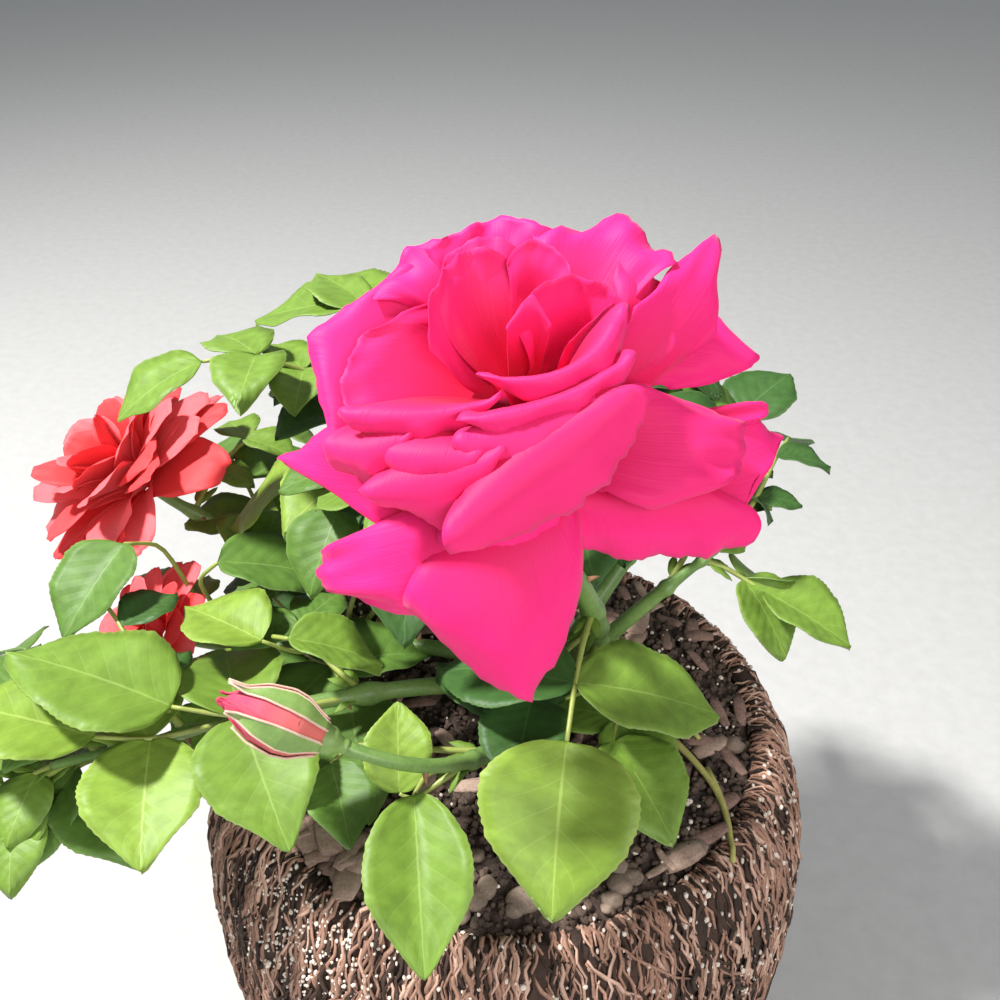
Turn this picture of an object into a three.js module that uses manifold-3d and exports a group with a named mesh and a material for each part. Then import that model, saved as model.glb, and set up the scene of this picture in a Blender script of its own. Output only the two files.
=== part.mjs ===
// A rose bush in a fibre pot, in millimetres, +Z up.
// The origin is the middle of the pot's flat underside. -Y is the side that faces the viewer.
// The bush has one crown on the soil. Canes rise from it: the bare foot of each cane is a bough,
// and the rest of it, with its leaves, is a mass. Roses and a bud sit on four of the cane tips.
import * as THREE from "three";
import { mergeVertices } from "three/addons/utils/BufferGeometryUtils.js";
import Module from "manifold-3d";

const wasm = await Module();
wasm.setup();

// Fits between neighbours, and a length too small to see
const CLEAR = 0.3;
const TINY = 1e-3;

// Pot of matted fibre: wall radius at each height, from the foot to the rounded lip
const POT_WALL = 9;
const POT_FLOOR = 10;
const POT_SIDES = 28;
const POT_OUTLINE = [
  [112, 0], [121, 6], [126, 50], [130, 130], [127, 168], [121, 188], [113, 202],
];
const POT_LIP = [[107, 207], [101, 205]];

// Ridges of matted fibre up the outside: corners for each side of the wall, how deep crests and troughs
// lie under the wall's radius, how much of that is by chance, and how far the corners wander
const RIDGE_CORNERS = 3;
const RIDGE_DEPTHS = [0.1, 1.5];
const RIDGE_CHANCE = [0.7, 1.2];
const RIDGE_WANDER = 0.28;
const RIDGE_WAVE = 27;

// Potting soil: heights of its surface at the wall, at the crown and behind the crown
const SOIL_EDGE = POT_OUTLINE.at(-1)[1];
const SOIL_TOP = 212;
const SOIL_BACK = 14;
const SOIL_RINGS = 6;
const SOIL_RIM = POT_OUTLINE.at(-1)[0] - POT_WALL - CLEAR;
const SOIL_CURVE = [3, 6];
const RIM_ROOM = 8;

// Crown: the knobbly foot of the bush, on a level patch of soil
const CROWN_X = 18;
const CROWN_Y = -2;
const CROWN_OUTLINE = [[0, 0], [19, 0], [16, 4], [12.5, 9], [14, 14], [12, 19], [6, 22], [0, 23]];
const CROWN_SIDES = 14;
const CROWN_KNOBS = 0.07;
const CROWN_LEAN = -0.1;
const PAD_RADIUS = 32;

// Canes: where each tip stands from the crown (bearing, reach, rise), the heading (bearing, pitch)
// that the cane starts with and ends with, its bare share, its radii and its seeded leaves
const FORK_HEIGHT = 8;
const CANE_START = 3;
const CANE_EASE = 0.36;
const CANE_STEPS = 18;
const CANE_SIDES = 6;
const CANE_RINGS = 10;
const CANES = [
  {
    name: "front", tip: [-101, 65, 151], from: [-10, 45], to: [-82, 61],
    bare: 0.36, radii: [4.6, 3.1], leaves: 1,
  },
  {
    name: "bud", tip: [-132, 104, 54], from: [-108, 14], to: [172, 26],
    bare: 0.42, radii: [3.2, 2.2], leaves: 0,
  },
  {
    name: "right", tip: [4, 72, 78], from: [0, 52], to: [14, 32],
    bare: 0.5, radii: [3.6, 2.2], leaves: 3,
  },
  {
    name: "left_front", tip: [-164, 188, 14], from: [-152, 34], to: [-172, -12],
    bare: 0.24, radii: [3.8, 2], leaves: 5,
  },
  {
    name: "lower_left", tip: [171, 160, 6], from: [172, 40], to: [214, 46],
    bare: 0.34, radii: [3.6, 2.2], leaves: 4,
  },
  {
    name: "upper_left", tip: [155, 193, 43], from: [150, 50], to: [206, 56],
    bare: 0.34, radii: [4, 2.4], leaves: 6,
  },
  {
    name: "back_left", tip: [138, 118, 104], from: [128, 52], to: [142, 44],
    bare: 0.36, radii: [4.2, 2.2], leaves: 5,
  },
  {
    name: "back", tip: [96, 78, 128], from: [86, 62], to: [96, 66],
    bare: 0.36, radii: [4.2, 2.2], leaves: 7,
  },
  {
    name: "back_right", tip: [42, 84, 76], from: [44, 56], to: [40, 40],
    bare: 0.4, radii: [4, 2.2], leaves: 6,
  },
  {
    name: "front_right", tip: [-36, 58, 34], from: [-40, 50], to: [-30, 12],
    bare: 0.4, radii: [3.2, 2], leaves: 1,
  },
];

// Compound leaves whose place gives the bush its look: cane and share along it, then bearing, distance
// and height of the end leaflet's foot from the crown, its heading and pitch, its length, the pairs of
// side leaflets behind it and the angle that those spread by
const PLACED = [
  ["front", 0.4, -89, 74, 60, -100, -25, 56, 1, 100],
  ["front", 0.32, -101, 48, 51, -101, 1, 35, 0, 60],
  ["front_right", 0.8, -72, 61, 42, -64, -2, 38, 1, 70],
  ["right", 0.8, -2, 79, 62, -37, -7, 36, 1, 45],
  ["bud", 0.5, -122, 91, 38, -84, -16, 56, 0, 60],
  ["bud", 0.45, -145, 97, 28, -70, -3, 33, 0, 60],
  ["bud", 0.55, -128, 88, 29, 95, 51, 30, 0, 30],
  ["left_front", 0.4, -160, 142, 49, 168, 22, 60, 1, 92],
  ["left_front", 0.62, -161, 169, 41, 174, 18, 53, 1, 75],
  ["left_front", 0.85, -164, 182, 13, -40, -4, 42, 1, 60],
  ["left_front", 0.95, -162, 202, 12, -78, -10, 29, 1, 70],
  ["lower_left", 0.45, -164, 99, 61, 3, -13, 35, 0, 60],
  ["lower_left", 0.5, -170, 109, 52, 150, 5, 40, 0, 60],
  ["lower_left", 0.75, 172, 132, 59, 10, -8, 46, 0, 60],
  ["upper_left", 0.72, 165, 139, 52, 98, 29, 40, 1, 40],
  ["upper_left", 0.75, 151, 152, 74, 77, 24, 31, 0, 60],
  ["back_left", 0.75, 136, 129, 99, 164, -2, 60, 1, 60],
  ["back_left", 0.92, 124, 134, 128, 172, -6, 55, 1, 60],
  ["lower_left", 0.85, 178, 140, 62, 109, 37, 48, 0, 60],
  ["lower_left", 0.8, 174, 166, 69, -114, -16, 41, 0, 120],
];

// Leaves: a stalk with leaflets, on a cane that turns by the golden angle from leaf to leaf
const GOLDEN = 137.5;
const STALK_RADII = [1.3, 0.9];
const STALK_STEPS = 3;
const STALK_SIDES = 3;
const STALK_RISE = 0.5;
const STALK_REACH = 52;
const PAIR_AT = [0.66, 0.34];
const PAIR_SIZE = [0.9, 0.74];
const PAIR_DROOP = 0.08;
const SPREAD = 70;
const LEAFLET = 46;
const LEAFLET_WIDTH = 0.78;
const LEAFLET_THICK = 1.3;
const LEAFLET_SAG = 0.14;
const LEAFLET_FOLD = 0.05;
const LEAFLET_EDGE = [[0.2, 0.4], [0.6, 0.44]];
const LEAFLET_RIB = 0.45;
const SUNK = 0.5;

// Seeded leaves: the stretch of cane that they take, then how their stalks and end leaflets stray
const SEED_STRETCH = [0.06, 0.92];
const SEED_TURN = 40;
const SEED_REACH = 0.3;
const SEED_RISE = [26, 22];
const SEED_SWING = 50;
const SEED_DROOP = [6, 30];
const SEED_SIZE = [0.82, 0.3];
const TIP_SMALLER = 0.25;
const SEED_PAIRS = 2;

// Room that a leaflet must have round it, and how far the crown reaches; a placed leaf needs less
const TEST_SHARES = [0.06, 0.24, 0.42, 0.6, 0.78, 1];
const TEST_WIDTH = 0.45;
const TEST_SIDES = [-1, -0.5, 0, 0.5, 1];
const PLACED_ROOM = 0.55;
const TRIES = 9;
const FEWEST = 3;
const GAP_OWN = 6.5;
const GAP_OTHER = 8;
const GAP_CANE = 9;
const GAP_STALK = 5;
const OVER_SOIL = 5;
const POT_REACH = 136;
const RIGHT_REACH = 130;
const BARE_CORNER = [50, -20];
const FRONT_REACH = -80;

// Petals: how they bend, how they widen from the foot and close at the tip, and how they stray
const PETAL_THICK = 1.3;
const PETAL_PIECES = 10;
const PETAL_BEND = 1.6;
const PETAL_FOOT = 0.16;
const PETAL_WIDE = 0.66;
const PETAL_CLOSE = { from: 0.6, depth: 0.84, power: 2.6 };
const PETAL_STRAY = { long: 0.14, half: 0.16, tip: 12 };
const CORE_SIDES = 8;

// Roses. Girth, depth and middle give the room that leaves keep out of. A single petal is a row of
// turn, length, half width and end pitch. A whorl is a ring of petals: how many, the turn of the
// first, the stray of each, where they root (radius, height), their length and half width, the pitch
// they leave with and end with, how they cup and roll back, and the grid that the blade has
const ROSES = [
  {
    name: "main_bloom", cane: "front", finish: "pink", seed: 3,
    girth: 74, depth: 44, middle: 22,
    core: [[0, 0], [4.5, 0], [8, 6], [9, 14], [10, 24], [9, 33], [5, 40], [0, 42]],
    outer: { root: 34, start: [7, 7], cup: 0.25, roll: 0.4, grid: [2, 3] },
    petals: [
      [-93, 69, 24, -42], [-138, 62, 29, -30], [-169, 61, 24, -10], [166, 62, 25, 0],
      [-28, 56, 30, -36], [-3, 60, 26, -14], [18, 61, 25, 2], [46, 66, 24, 14],
      [73, 60, 26, 10], [101, 60, 26, 10], [130, 60, 25, 8],
    ],
    whorls: [
      {
        count: 5, turn: -28, stray: 10, start: [7, 12], length: 55, half: 30,
        root: 54, tip: -8, cup: 0.35, roll: 0.35, grid: [2, 3],
      },
      {
        count: 4, turn: -60, stray: 14, start: [7, 16], length: 45, half: 27,
        root: 66, tip: 14, cup: 0.5, roll: 0.3, grid: [2, 3],
      },
      {
        count: 3, turn: -120, stray: 16, start: [7, 20], length: 34, half: 24,
        root: 74, tip: 44, cup: 0.7, roll: 0.3, grid: [4, 2],
      },
    ],
  },
  {
    name: "upper_red_bloom", cane: "upper_left", finish: "red", seed: 7,
    girth: 54, depth: 38, middle: 18,
    core: [[0, 0], [4, 0], [6, 5], [6, 16], [0, 18]],
    petals: [],
    whorls: [
      {
        count: 8, turn: 10, stray: 16, start: [4, 4], length: 50, half: 13,
        root: 24, tip: -26, cup: 0.4, roll: 0.3, grid: [2, 2],
      },
      {
        count: 7, turn: 30, stray: 20, start: [4, 6], length: 45, half: 12,
        root: 46, tip: 10, cup: 0.5, roll: 0.2, grid: [2, 2],
      },
      {
        count: 5, turn: 0, stray: 24, start: [3, 9], length: 38, half: 10,
        root: 66, tip: 46, cup: 0.6, roll: 0.1, grid: [2, 2],
      },
    ],
  },
  {
    name: "lower_red_bloom", cane: "lower_left", finish: "red", seed: 11,
    girth: 32, depth: 28, middle: 12,
    core: [[0, 0], [3.5, 0], [5, 4], [5, 13], [0, 15]],
    petals: [],
    whorls: [
      {
        count: 7, turn: 0, stray: 16, start: [3, 4], length: 30, half: 11,
        root: 24, tip: -24, cup: 0.4, roll: 0.3, grid: [2, 2],
      },
      {
        count: 5, turn: 20, stray: 20, start: [3, 7], length: 26, half: 10,
        root: 56, tip: 28, cup: 0.5, roll: 0.2, grid: [2, 2],
      },
    ],
  },
];

// Bud: hip, petals wrapped to a point, and five sepals that stand off it
const BUD = {
  name: "rose_bud", cane: "bud", finish: "bud",
  outline: [[0, 0], [2.6, 0], [4.6, 3], [5.4, 7], [9.4, 13], [10.6, 19], [8.8, 28], [4.6, 36], [0, 41]],
  sides: 12, sepals: 5, sepalRoot: 7, sepalLength: 31, sepalWidth: 0.36, sepalOut: 9, sepalPitch: 91,
  girth: 20, depth: 32, middle: 20,
};

// Colours, roughness
const FINISH = {
  fibre: ["#6f5141", 0.95],
  soil: ["#4a3a30", 0.95],
  bark: ["#6d7a45", 0.7],
  cane: ["#6f9a4a", 0.6],
  leaf: ["#6fa03c", 0.5],
  pink: ["#f0308c", 0.5],
  red: ["#e2343c", 0.5],
  bud: ["#d8486e", 0.5],
};

const radians = THREE.MathUtils.degToRad;
const vec = (x, y, z) => new THREE.Vector3(x, y, z);
const UP = vec(0, 0, 1);
const CROWN = vec(CROWN_X, CROWN_Y, SOIL_TOP + CLEAR);

function heading(bearing, pitch) {
  const [b, p] = [radians(bearing), radians(pitch)];
  return vec(Math.cos(p) * Math.cos(b), Math.cos(p) * Math.sin(b), Math.sin(p));
}

// A seeded number from 0 to 1 that depends on its keys only
function chance(...keys) {
  const weights = [12.9898, 78.233, 37.719, 9.137];
  const x = Math.sin(keys.reduce((sum, key, i) => sum + key * weights[i], 0)) * 43758.5453;
  return x - Math.floor(x);
}

// Solids
function manifold(positions, indices) {
  const [vertProperties, triVerts] = [Float32Array.from(positions), Uint32Array.from(indices)];
  return new wasm.Manifold(new wasm.Mesh({ numProp: 3, vertProperties, triVerts }));
}

function solid(points, triangles) {
  return manifold(points.flatMap((p) => [p.x, p.y, p.z]), triangles.flat());
}

function solidOf(geometry) {
  geometry.deleteAttribute("normal");
  geometry.deleteAttribute("uv");
  const merged = mergeVertices(geometry, TINY);
  return manifold(merged.attributes.position.array, merged.index.array);
}

// The largest piece of a solid, without scraps and without hollows that are sealed inside it
function body(shape) {
  return shape.decompose().sort((a, b) => b.volume() - a.volume())[0];
}

function union(shapes) {
  return shapes.reduce((sum, shape) => sum.add(shape));
}

// Points along a cubic curve that leaves a with one heading and reaches b with another
function sweep(a, leaves, b, arrives, ease, steps) {
  const length = a.distanceTo(b) * ease;
  const curve = new THREE.CubicBezierCurve3(
    a, a.clone().addScaledVector(leaves, length), b.clone().addScaledVector(arrives, -length), b);
  return curve.getPoints(steps);
}

// The point and the heading at a share along a row of points
function along(points, share) {
  const x = Math.min(share, 0.9999) * (points.length - 1);
  const i = Math.floor(x);
  const at = points[i].clone().lerp(points[i + 1], x - i);
  return [at, points[i + 1].clone().sub(points[i]).normalize()];
}

// A closed tube through points, tapering from one radius to another
function tube(points, radii, sides) {
  const rings = [];
  const last = points.length - 1;
  let side = vec(1, 0, 0);
  points.forEach((point, i) => {
    const ahead = points[Math.min(i + 1, last)].clone().sub(points[Math.max(i - 1, 0)]).normalize();
    if (i === 0 && Math.abs(ahead.x) > 0.9) side = vec(0, 1, 0);
    side = side.clone().addScaledVector(ahead, -side.dot(ahead)).normalize();
    const up = ahead.clone().cross(side);
    const radius = THREE.MathUtils.lerp(radii[0], radii[1], i / last);
    for (let k = 0; k < sides; k += 1) {
      const angle = (2 * Math.PI * k) / sides;
      const across = point.clone().addScaledVector(side, radius * Math.cos(angle));
      rings.push(across.addScaledVector(up, radius * Math.sin(angle)));
    }
  });
  const faces = [];
  for (let i = 0; i < last; i += 1) {
    for (let k = 0; k < sides; k += 1) {
      const [a, b] = [i * sides + k, i * sides + ((k + 1) % sides)];
      faces.push([a, b, b + sides], [a, b + sides, a + sides]);
    }
  }
  for (let k = 1; k < sides - 1; k += 1) {
    faces.push([0, k + 1, k], [last * sides, last * sides + k, last * sides + k + 1]);
  }
  return solid(rings, faces);
}

// A thin blade from a surface at(u, v), with u from -1 to 1 and v from 0 to 1
function blade(at, across, lengthwise, thick) {
  const points = [];
  const [nu, nv] = [across + 1, lengthwise + 1];
  for (const face of [0.5, -0.5]) {
    for (let j = 0; j < nv; j += 1) {
      for (let i = 0; i < nu; i += 1) {
        const [u, v] = [(2 * i) / across - 1, j / lengthwise];
        const du = at(u + TINY, v).sub(at(u - TINY, v));
        const dv = at(u, v + TINY).sub(at(u, v - TINY));
        const normal = du.cross(dv).normalize();
        points.push(at(u, v).addScaledVector(normal, face * thick));
      }
    }
  }
  const faces = [];
  const under = nu * nv;
  for (let j = 0; j < lengthwise; j += 1) {
    for (let i = 0; i < across; i += 1) {
      const [a, b, c, d] = [j * nu + i, j * nu + i + 1, (j + 1) * nu + i + 1, (j + 1) * nu + i];
      const [e, f, g, h] = [a + under, b + under, c + under, d + under];
      faces.push([a, b, c], [a, c, d], [e, g, f], [e, h, g]);
    }
  }
  const rim = [];
  for (let i = 0; i < across; i += 1) rim.push(i);
  for (let j = 0; j < lengthwise; j += 1) rim.push(j * nu + across);
  for (let i = across; i > 0; i -= 1) rim.push(lengthwise * nu + i);
  for (let j = lengthwise; j > 0; j -= 1) rim.push(j * nu);
  rim.forEach((a, i) => {
    const b = rim[(i + 1) % rim.length];
    faces.push([b, a, a + under], [b, a + under, b + under]);
  });
  return solid(points, faces);
}

function lathe(outline, sides) {
  const section = outline.map(([r, z]) => new THREE.Vector2(r, z));
  return new THREE.LatheGeometry(section, sides).rotateX(Math.PI / 2);
}

function turned(outline, sides) {
  return solidOf(lathe(outline, sides));
}

// Pot and soil
const potInside = POT_OUTLINE.slice(2).reverse().map(([r, z]) => [r - POT_WALL, z]);
const POT_FOOT = POT_OUTLINE[1][0] - POT_WALL;

// The points of a level ring
function ring(radius, z) {
  return Array.from({ length: POT_SIDES }, (_, k) => {
    const angle = (2 * Math.PI * k) / POT_SIDES;
    return vec(radius * Math.sin(angle), radius * Math.cos(angle), z);
  });
}

// A ring of the outside, where crests and troughs alternate and wander from height to height
function ridgedRing([radius, z], level) {
  const corners = POT_SIDES * RIDGE_CORNERS;
  return Array.from({ length: corners }, (_, k) => {
    const depth = RIDGE_DEPTHS[k % 2] + RIDGE_CHANCE[k % 2] * chance(k, level, 1);
    const wander = RIDGE_WANDER * Math.sin(z / RIDGE_WAVE + 2 * Math.PI * chance(k, 0, 2));
    const angle = (2 * Math.PI * (k + wander)) / corners;
    return vec((radius - depth) * Math.sin(angle), (radius - depth) * Math.cos(angle), z);
  });
}

// A closed shell through rings, from the middle of its floor out, up, and in again to the last middle
function shell(rings) {
  const starts = rings.map((_, i) => rings.slice(0, i).flat().length);
  const faces = [];
  for (let i = 0; i + 1 < rings.length; i += 1) {
    const steps = Math.max(rings[i].length, rings[i + 1].length);
    const corner = (level, j) => {
      const count = rings[level].length;
      return starts[level] + (Math.round((j * count) / steps) % count);
    };
    for (let j = 0; j < steps; j += 1) {
      const [a, b] = [corner(i, j), corner(i, j + 1)];
      const [c, d] = [corner(i + 1, j), corner(i + 1, j + 1)];
      if (a !== b) faces.push([a, c, b]);
      if (c !== d) faces.push([b, c, d]);
    }
  }
  return solid(rings.flat(), faces);
}

function fibrePot() {
  const [foot, ...outside] = POT_OUTLINE;
  const inside = [...POT_LIP, ...potInside, [POT_FOOT, POT_FLOOR]].map(([r, z]) => ring(r, z));
  return shell([
    [vec(0, 0, 0)], ring(...foot), ...outside.map(ridgedRing), ...inside, [vec(0, 0, POT_FLOOR)],
  ]);
}

// Height of the soil at a place: domed from the wall up to a level patch round the crown
function soilHeight(x, y) {
  const out = Math.min(Math.hypot(x, y) / SOIL_RIM, 1);
  const [dome, back] = SOIL_CURVE.map((power) => 1 - out ** power);
  const open = SOIL_EDGE + (SOIL_TOP - SOIL_EDGE) * dome + SOIL_BACK * Math.max(y / SOIL_RIM, 0) * back;
  const near = Math.hypot(x - CROWN_X, y - CROWN_Y) / PAD_RADIUS;
  const level = THREE.MathUtils.smoothstep(near, 1, 2);
  return THREE.MathUtils.lerp(SOIL_TOP, open, level);
}

function soilMound() {
  const wall = potInside.map(([r, z]) => [r - CLEAR, z]).filter(([, z]) => z < SOIL_EDGE).reverse();
  const sides = [[POT_FOOT - CLEAR, POT_FLOOR + CLEAR], ...wall].map(([r, z]) => ring(r, z));
  const top = [];
  for (let i = SOIL_RINGS; i > 0; i -= 1) {
    top.push(ring((SOIL_RIM * i) / SOIL_RINGS, 0).map((spot) => spot.setZ(soilHeight(spot.x, spot.y))));
  }
  return shell([[vec(0, 0, POT_FLOOR + CLEAR)], ...sides, ...top, [vec(0, 0, soilHeight(0, 0))]]);
}

// The crown, grown by a margin when it serves to cut the canes clear of it
function crownShape(margin) {
  const outline = CROWN_OUTLINE.map(([r, z]) => [r > 0 ? r + margin : 0, z > 0 ? z + margin : z - margin]);
  const shape = lathe(outline, CROWN_SIDES);
  const spots = shape.attributes.position;
  for (let i = 0; i < spots.count; i += 1) {
    const [x, y, z] = [spots.getX(i), spots.getY(i), spots.getZ(i)];
    const swell = 1 + CROWN_KNOBS * Math.sin(3 * Math.atan2(y, x) + z / 5);
    spots.setXYZ(i, x * swell + z * CROWN_LEAN, y * swell, z);
  }
  return solidOf(shape.translate(CROWN.x, CROWN.y, CROWN.z));
}

// Canes
function caneLine({ tip: [bearing, reach, rise], from, to }) {
  const fork = CROWN.clone().add(vec(0, 0, FORK_HEIGHT));
  const out = heading(bearing, 0).multiplyScalar(reach).add(vec(0, 0, rise));
  const start = fork.clone().addScaledVector(heading(...from), CANE_START);
  return sweep(start, heading(...from), fork.clone().add(out), heading(...to), CANE_EASE, CANE_STEPS);
}

// Roses: a petal of a whorl, and a petal's surface from its root at v = 0 to its tip at v = 1
function whorlPetal(rose, whorl, index) {
  const key = rose.seed + 10 * whorl.length + index;
  const turn = whorl.turn + (360 * index) / whorl.count + whorl.stray * (chance(key, 1) - 0.5);
  const long = whorl.length * (1 + PETAL_STRAY.long * (chance(key, 2) - 0.5));
  const half = whorl.half * (1 + PETAL_STRAY.half * (chance(key, 3) - 0.5));
  return petalAt(whorl, turn, long, half, whorl.tip + PETAL_STRAY.tip * (chance(key, 4) - 0.5));
}

function petalAt(whorl, bearing, long, half, tipPitch) {
  const turn = radians(bearing);
  const [root, tip] = [radians(whorl.root), radians(tipPitch)];
  const away = vec(Math.cos(turn), Math.sin(turn), 0);
  const side = vec(-Math.sin(turn), Math.cos(turn), 0);
  return (u, v) => {
    let [r, z, pitch] = [whorl.start[0], whorl.start[1], root];
    for (let i = 0; i < PETAL_PIECES; i += 1) {
      const t = (v * (i + 0.5)) / PETAL_PIECES;
      pitch = root + (tip - root) * Math.max(t, 0) ** PETAL_BEND;
      r += (long * v * Math.cos(pitch)) / PETAL_PIECES;
      z += (long * v * Math.sin(pitch)) / PETAL_PIECES;
    }
    const open = Math.sin(Math.min(Math.max(v, 0) / PETAL_WIDE, 1) * (Math.PI / 2));
    const widen = PETAL_FOOT + (1 - PETAL_FOOT) * open;
    const late = Math.max((v - PETAL_CLOSE.from) / (1 - PETAL_CLOSE.from), 0);
    const close = 1 - PETAL_CLOSE.depth * late ** PETAL_CLOSE.power;
    const w = half * widen * close;
    const lift = w * u * u * (whorl.cup * (1 - v) - whorl.roll * v ** 3);
    const [rr, zz] = [r - Math.sin(pitch) * lift, z + Math.cos(pitch) * lift];
    return away.clone().multiplyScalar(rr).addScaledVector(side, -u * w).add(vec(0, 0, zz));
  };
}

function roseSolid(rose) {
  const shapes = [turned(rose.core, CORE_SIDES)];
  rose.petals.forEach(([turn, long, half, tip]) => {
    shapes.push(blade(petalAt(rose.outer, turn, long, half, tip), ...rose.outer.grid, PETAL_THICK));
  });
  rose.whorls.forEach((whorl) => {
    for (let i = 0; i < whorl.count; i += 1) {
      shapes.push(blade(whorlPetal(rose, whorl, i), ...whorl.grid, PETAL_THICK));
    }
  });
  return body(union(shapes));
}

// The turn that stands a shape's +Z along a heading
function facing(axis) {
  return new THREE.Quaternion().setFromUnitVectors(vec(0, 0, 1), axis);
}

function placed(shape, at, turn) {
  const matrix = new THREE.Matrix4().compose(at, turn, vec(1, 1, 1));
  return shape.transform(matrix.elements);
}

// A leaflet: a folded, sagging blade with a pointed tip and its root sunk into its stalk
function leafletSolid({ foot, ahead, up, length, width = LEAFLET_WIDTH }) {
  const side = ahead.clone().cross(up);
  const wide = length * width;
  const spot = (s, out, lift) => foot.clone().addScaledVector(ahead, s * length)
    .addScaledVector(side, out * wide).addScaledVector(up, lift - LEAFLET_SAG * length * s * s);
  const half = LEAFLET_THICK / 2;
  const fold = LEAFLET_FOLD * length;
  const points = [spot(0, 0, 0), spot(1, 0, 0)];
  for (const way of [1, -1]) LEAFLET_EDGE.forEach(([s, out]) => points.push(spot(s, way * out, fold)));
  points.push(spot(LEAFLET_RIB, 0, half), spot(LEAFLET_RIB, 0, -half));
  const [root, tip, r1, r2, l1, l2, over, under] = points.keys();
  return solid(points, [
    [root, r1, over], [r1, r2, over], [r2, tip, over],
    [root, over, l1], [l1, over, l2], [l2, over, tip],
    [root, under, r1], [r1, under, r2], [r2, under, tip],
    [root, l1, under], [l1, l2, under], [l2, tip, under],
  ]);
}

// Places on a leaflet that it is tested by
function leafletSpots({ foot, ahead, up, length }) {
  const side = ahead.clone().cross(up);
  return TEST_SHARES.flatMap((s) => TEST_SIDES.map((t) => foot.clone()
    .addScaledVector(ahead, s * length)
    .addScaledVector(side, t * length * LEAFLET_WIDTH * TEST_WIDTH * Math.sqrt(Math.sin(Math.PI * s)))
    .addScaledVector(up, -LEAFLET_SAG * length * s * s)));
}

// A compound leaf: its stalk from a place on the cane, and its leaflets, the end one first
function compoundLeaf(cane, share, foot, ahead, size, pairs, spread) {
  const [start, stem] = along(cane.line, share);
  const leaves = foot.clone().sub(start).normalize().addScaledVector(stem, STALK_RISE).normalize();
  const stalk = sweep(start, leaves, foot, ahead, CANE_EASE, STALK_STEPS);
  const leaflets = [];
  const add = (at, way, length) => {
    const side = way.clone().cross(UP).normalize();
    const root = at.clone().addScaledVector(way, -SUNK);
    leaflets.push({ foot: root, ahead: way, up: side.cross(way), length });
  };
  add(foot, ahead, size);
  for (let pair = 0; pair < pairs; pair += 1) {
    const [at, way] = along(stalk, PAIR_AT[pair]);
    const flat = way.clone().cross(UP).normalize();
    for (const sign of [1, -1]) {
      const out = way.clone().multiplyScalar(Math.cos(radians(spread)))
        .addScaledVector(flat, sign * Math.sin(radians(spread)))
        .addScaledVector(UP, -PAIR_DROOP);
      add(at, out.normalize(), size * PAIR_SIZE[pair]);
    }
  }
  return { cane, share, stalk, leaflets };
}

function placedLeaf([name, share, bearing, distance, height, toward, pitch, size, pairs, spread]) {
  const cane = canes.find((one) => one.name === name);
  const foot = CROWN.clone().addScaledVector(heading(bearing, 0), distance).add(vec(0, 0, height));
  return compoundLeaf(cane, share, foot, heading(toward, pitch), size, pairs, spread);
}

function seededLeaf(cane, index, attempt) {
  const seed = canes.indexOf(cane) + attempt / TRIES;
  const stray = (key, [least, more]) => least + more * chance(seed, index, key);
  const [first, stretch] = SEED_STRETCH;
  const share = cane.bare + first + (stretch - cane.bare) * ((index + 0.5) / cane.leaves);
  const bearing = GOLDEN * (index + attempt) + stray(1, [0, SEED_TURN]);
  const [start] = along(cane.line, share);
  const out = heading(bearing, SEED_RISE[0] - stray(3, [0, SEED_RISE[1]]));
  const foot = start.clone().addScaledVector(out, STALK_REACH * stray(2, [1, SEED_REACH]));
  const ahead = heading(bearing + stray(4, [-SEED_SWING / 2, SEED_SWING]), -stray(5, SEED_DROOP));
  const size = LEAFLET * stray(6, SEED_SIZE) * (1 - TIP_SMALLER * share ** 4);
  return compoundLeaf(cane, share, foot, ahead, size, SEED_PAIRS, SPREAD);
}

// Whether a spot keeps above the soil and the pot, and out of the roses
function inTheOpen(spot) {
  if (spot.x > RIGHT_REACH) return false;
  const out = Math.hypot(spot.x, spot.y);
  const floor = out < SOIL_RIM ? soilHeight(spot.x, spot.y) : SOIL_EDGE + RIM_ROOM;
  if (out < POT_REACH && spot.z < floor + OVER_SOIL) return false;
  return roses.every(({ middle, axis, girth, depth }) => {
    const from = spot.clone().sub(middle);
    const rise = from.dot(axis);
    const spread = Math.sqrt(Math.max(from.lengthSq() - rise * rise, 0));
    return Math.hypot(spread / girth, rise / depth) > 1;
  });
}

function farFrom(spots, others, gap) {
  return spots.every((a) => others.every((b) => a.distanceToSquared(b) > gap * gap));
}

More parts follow.
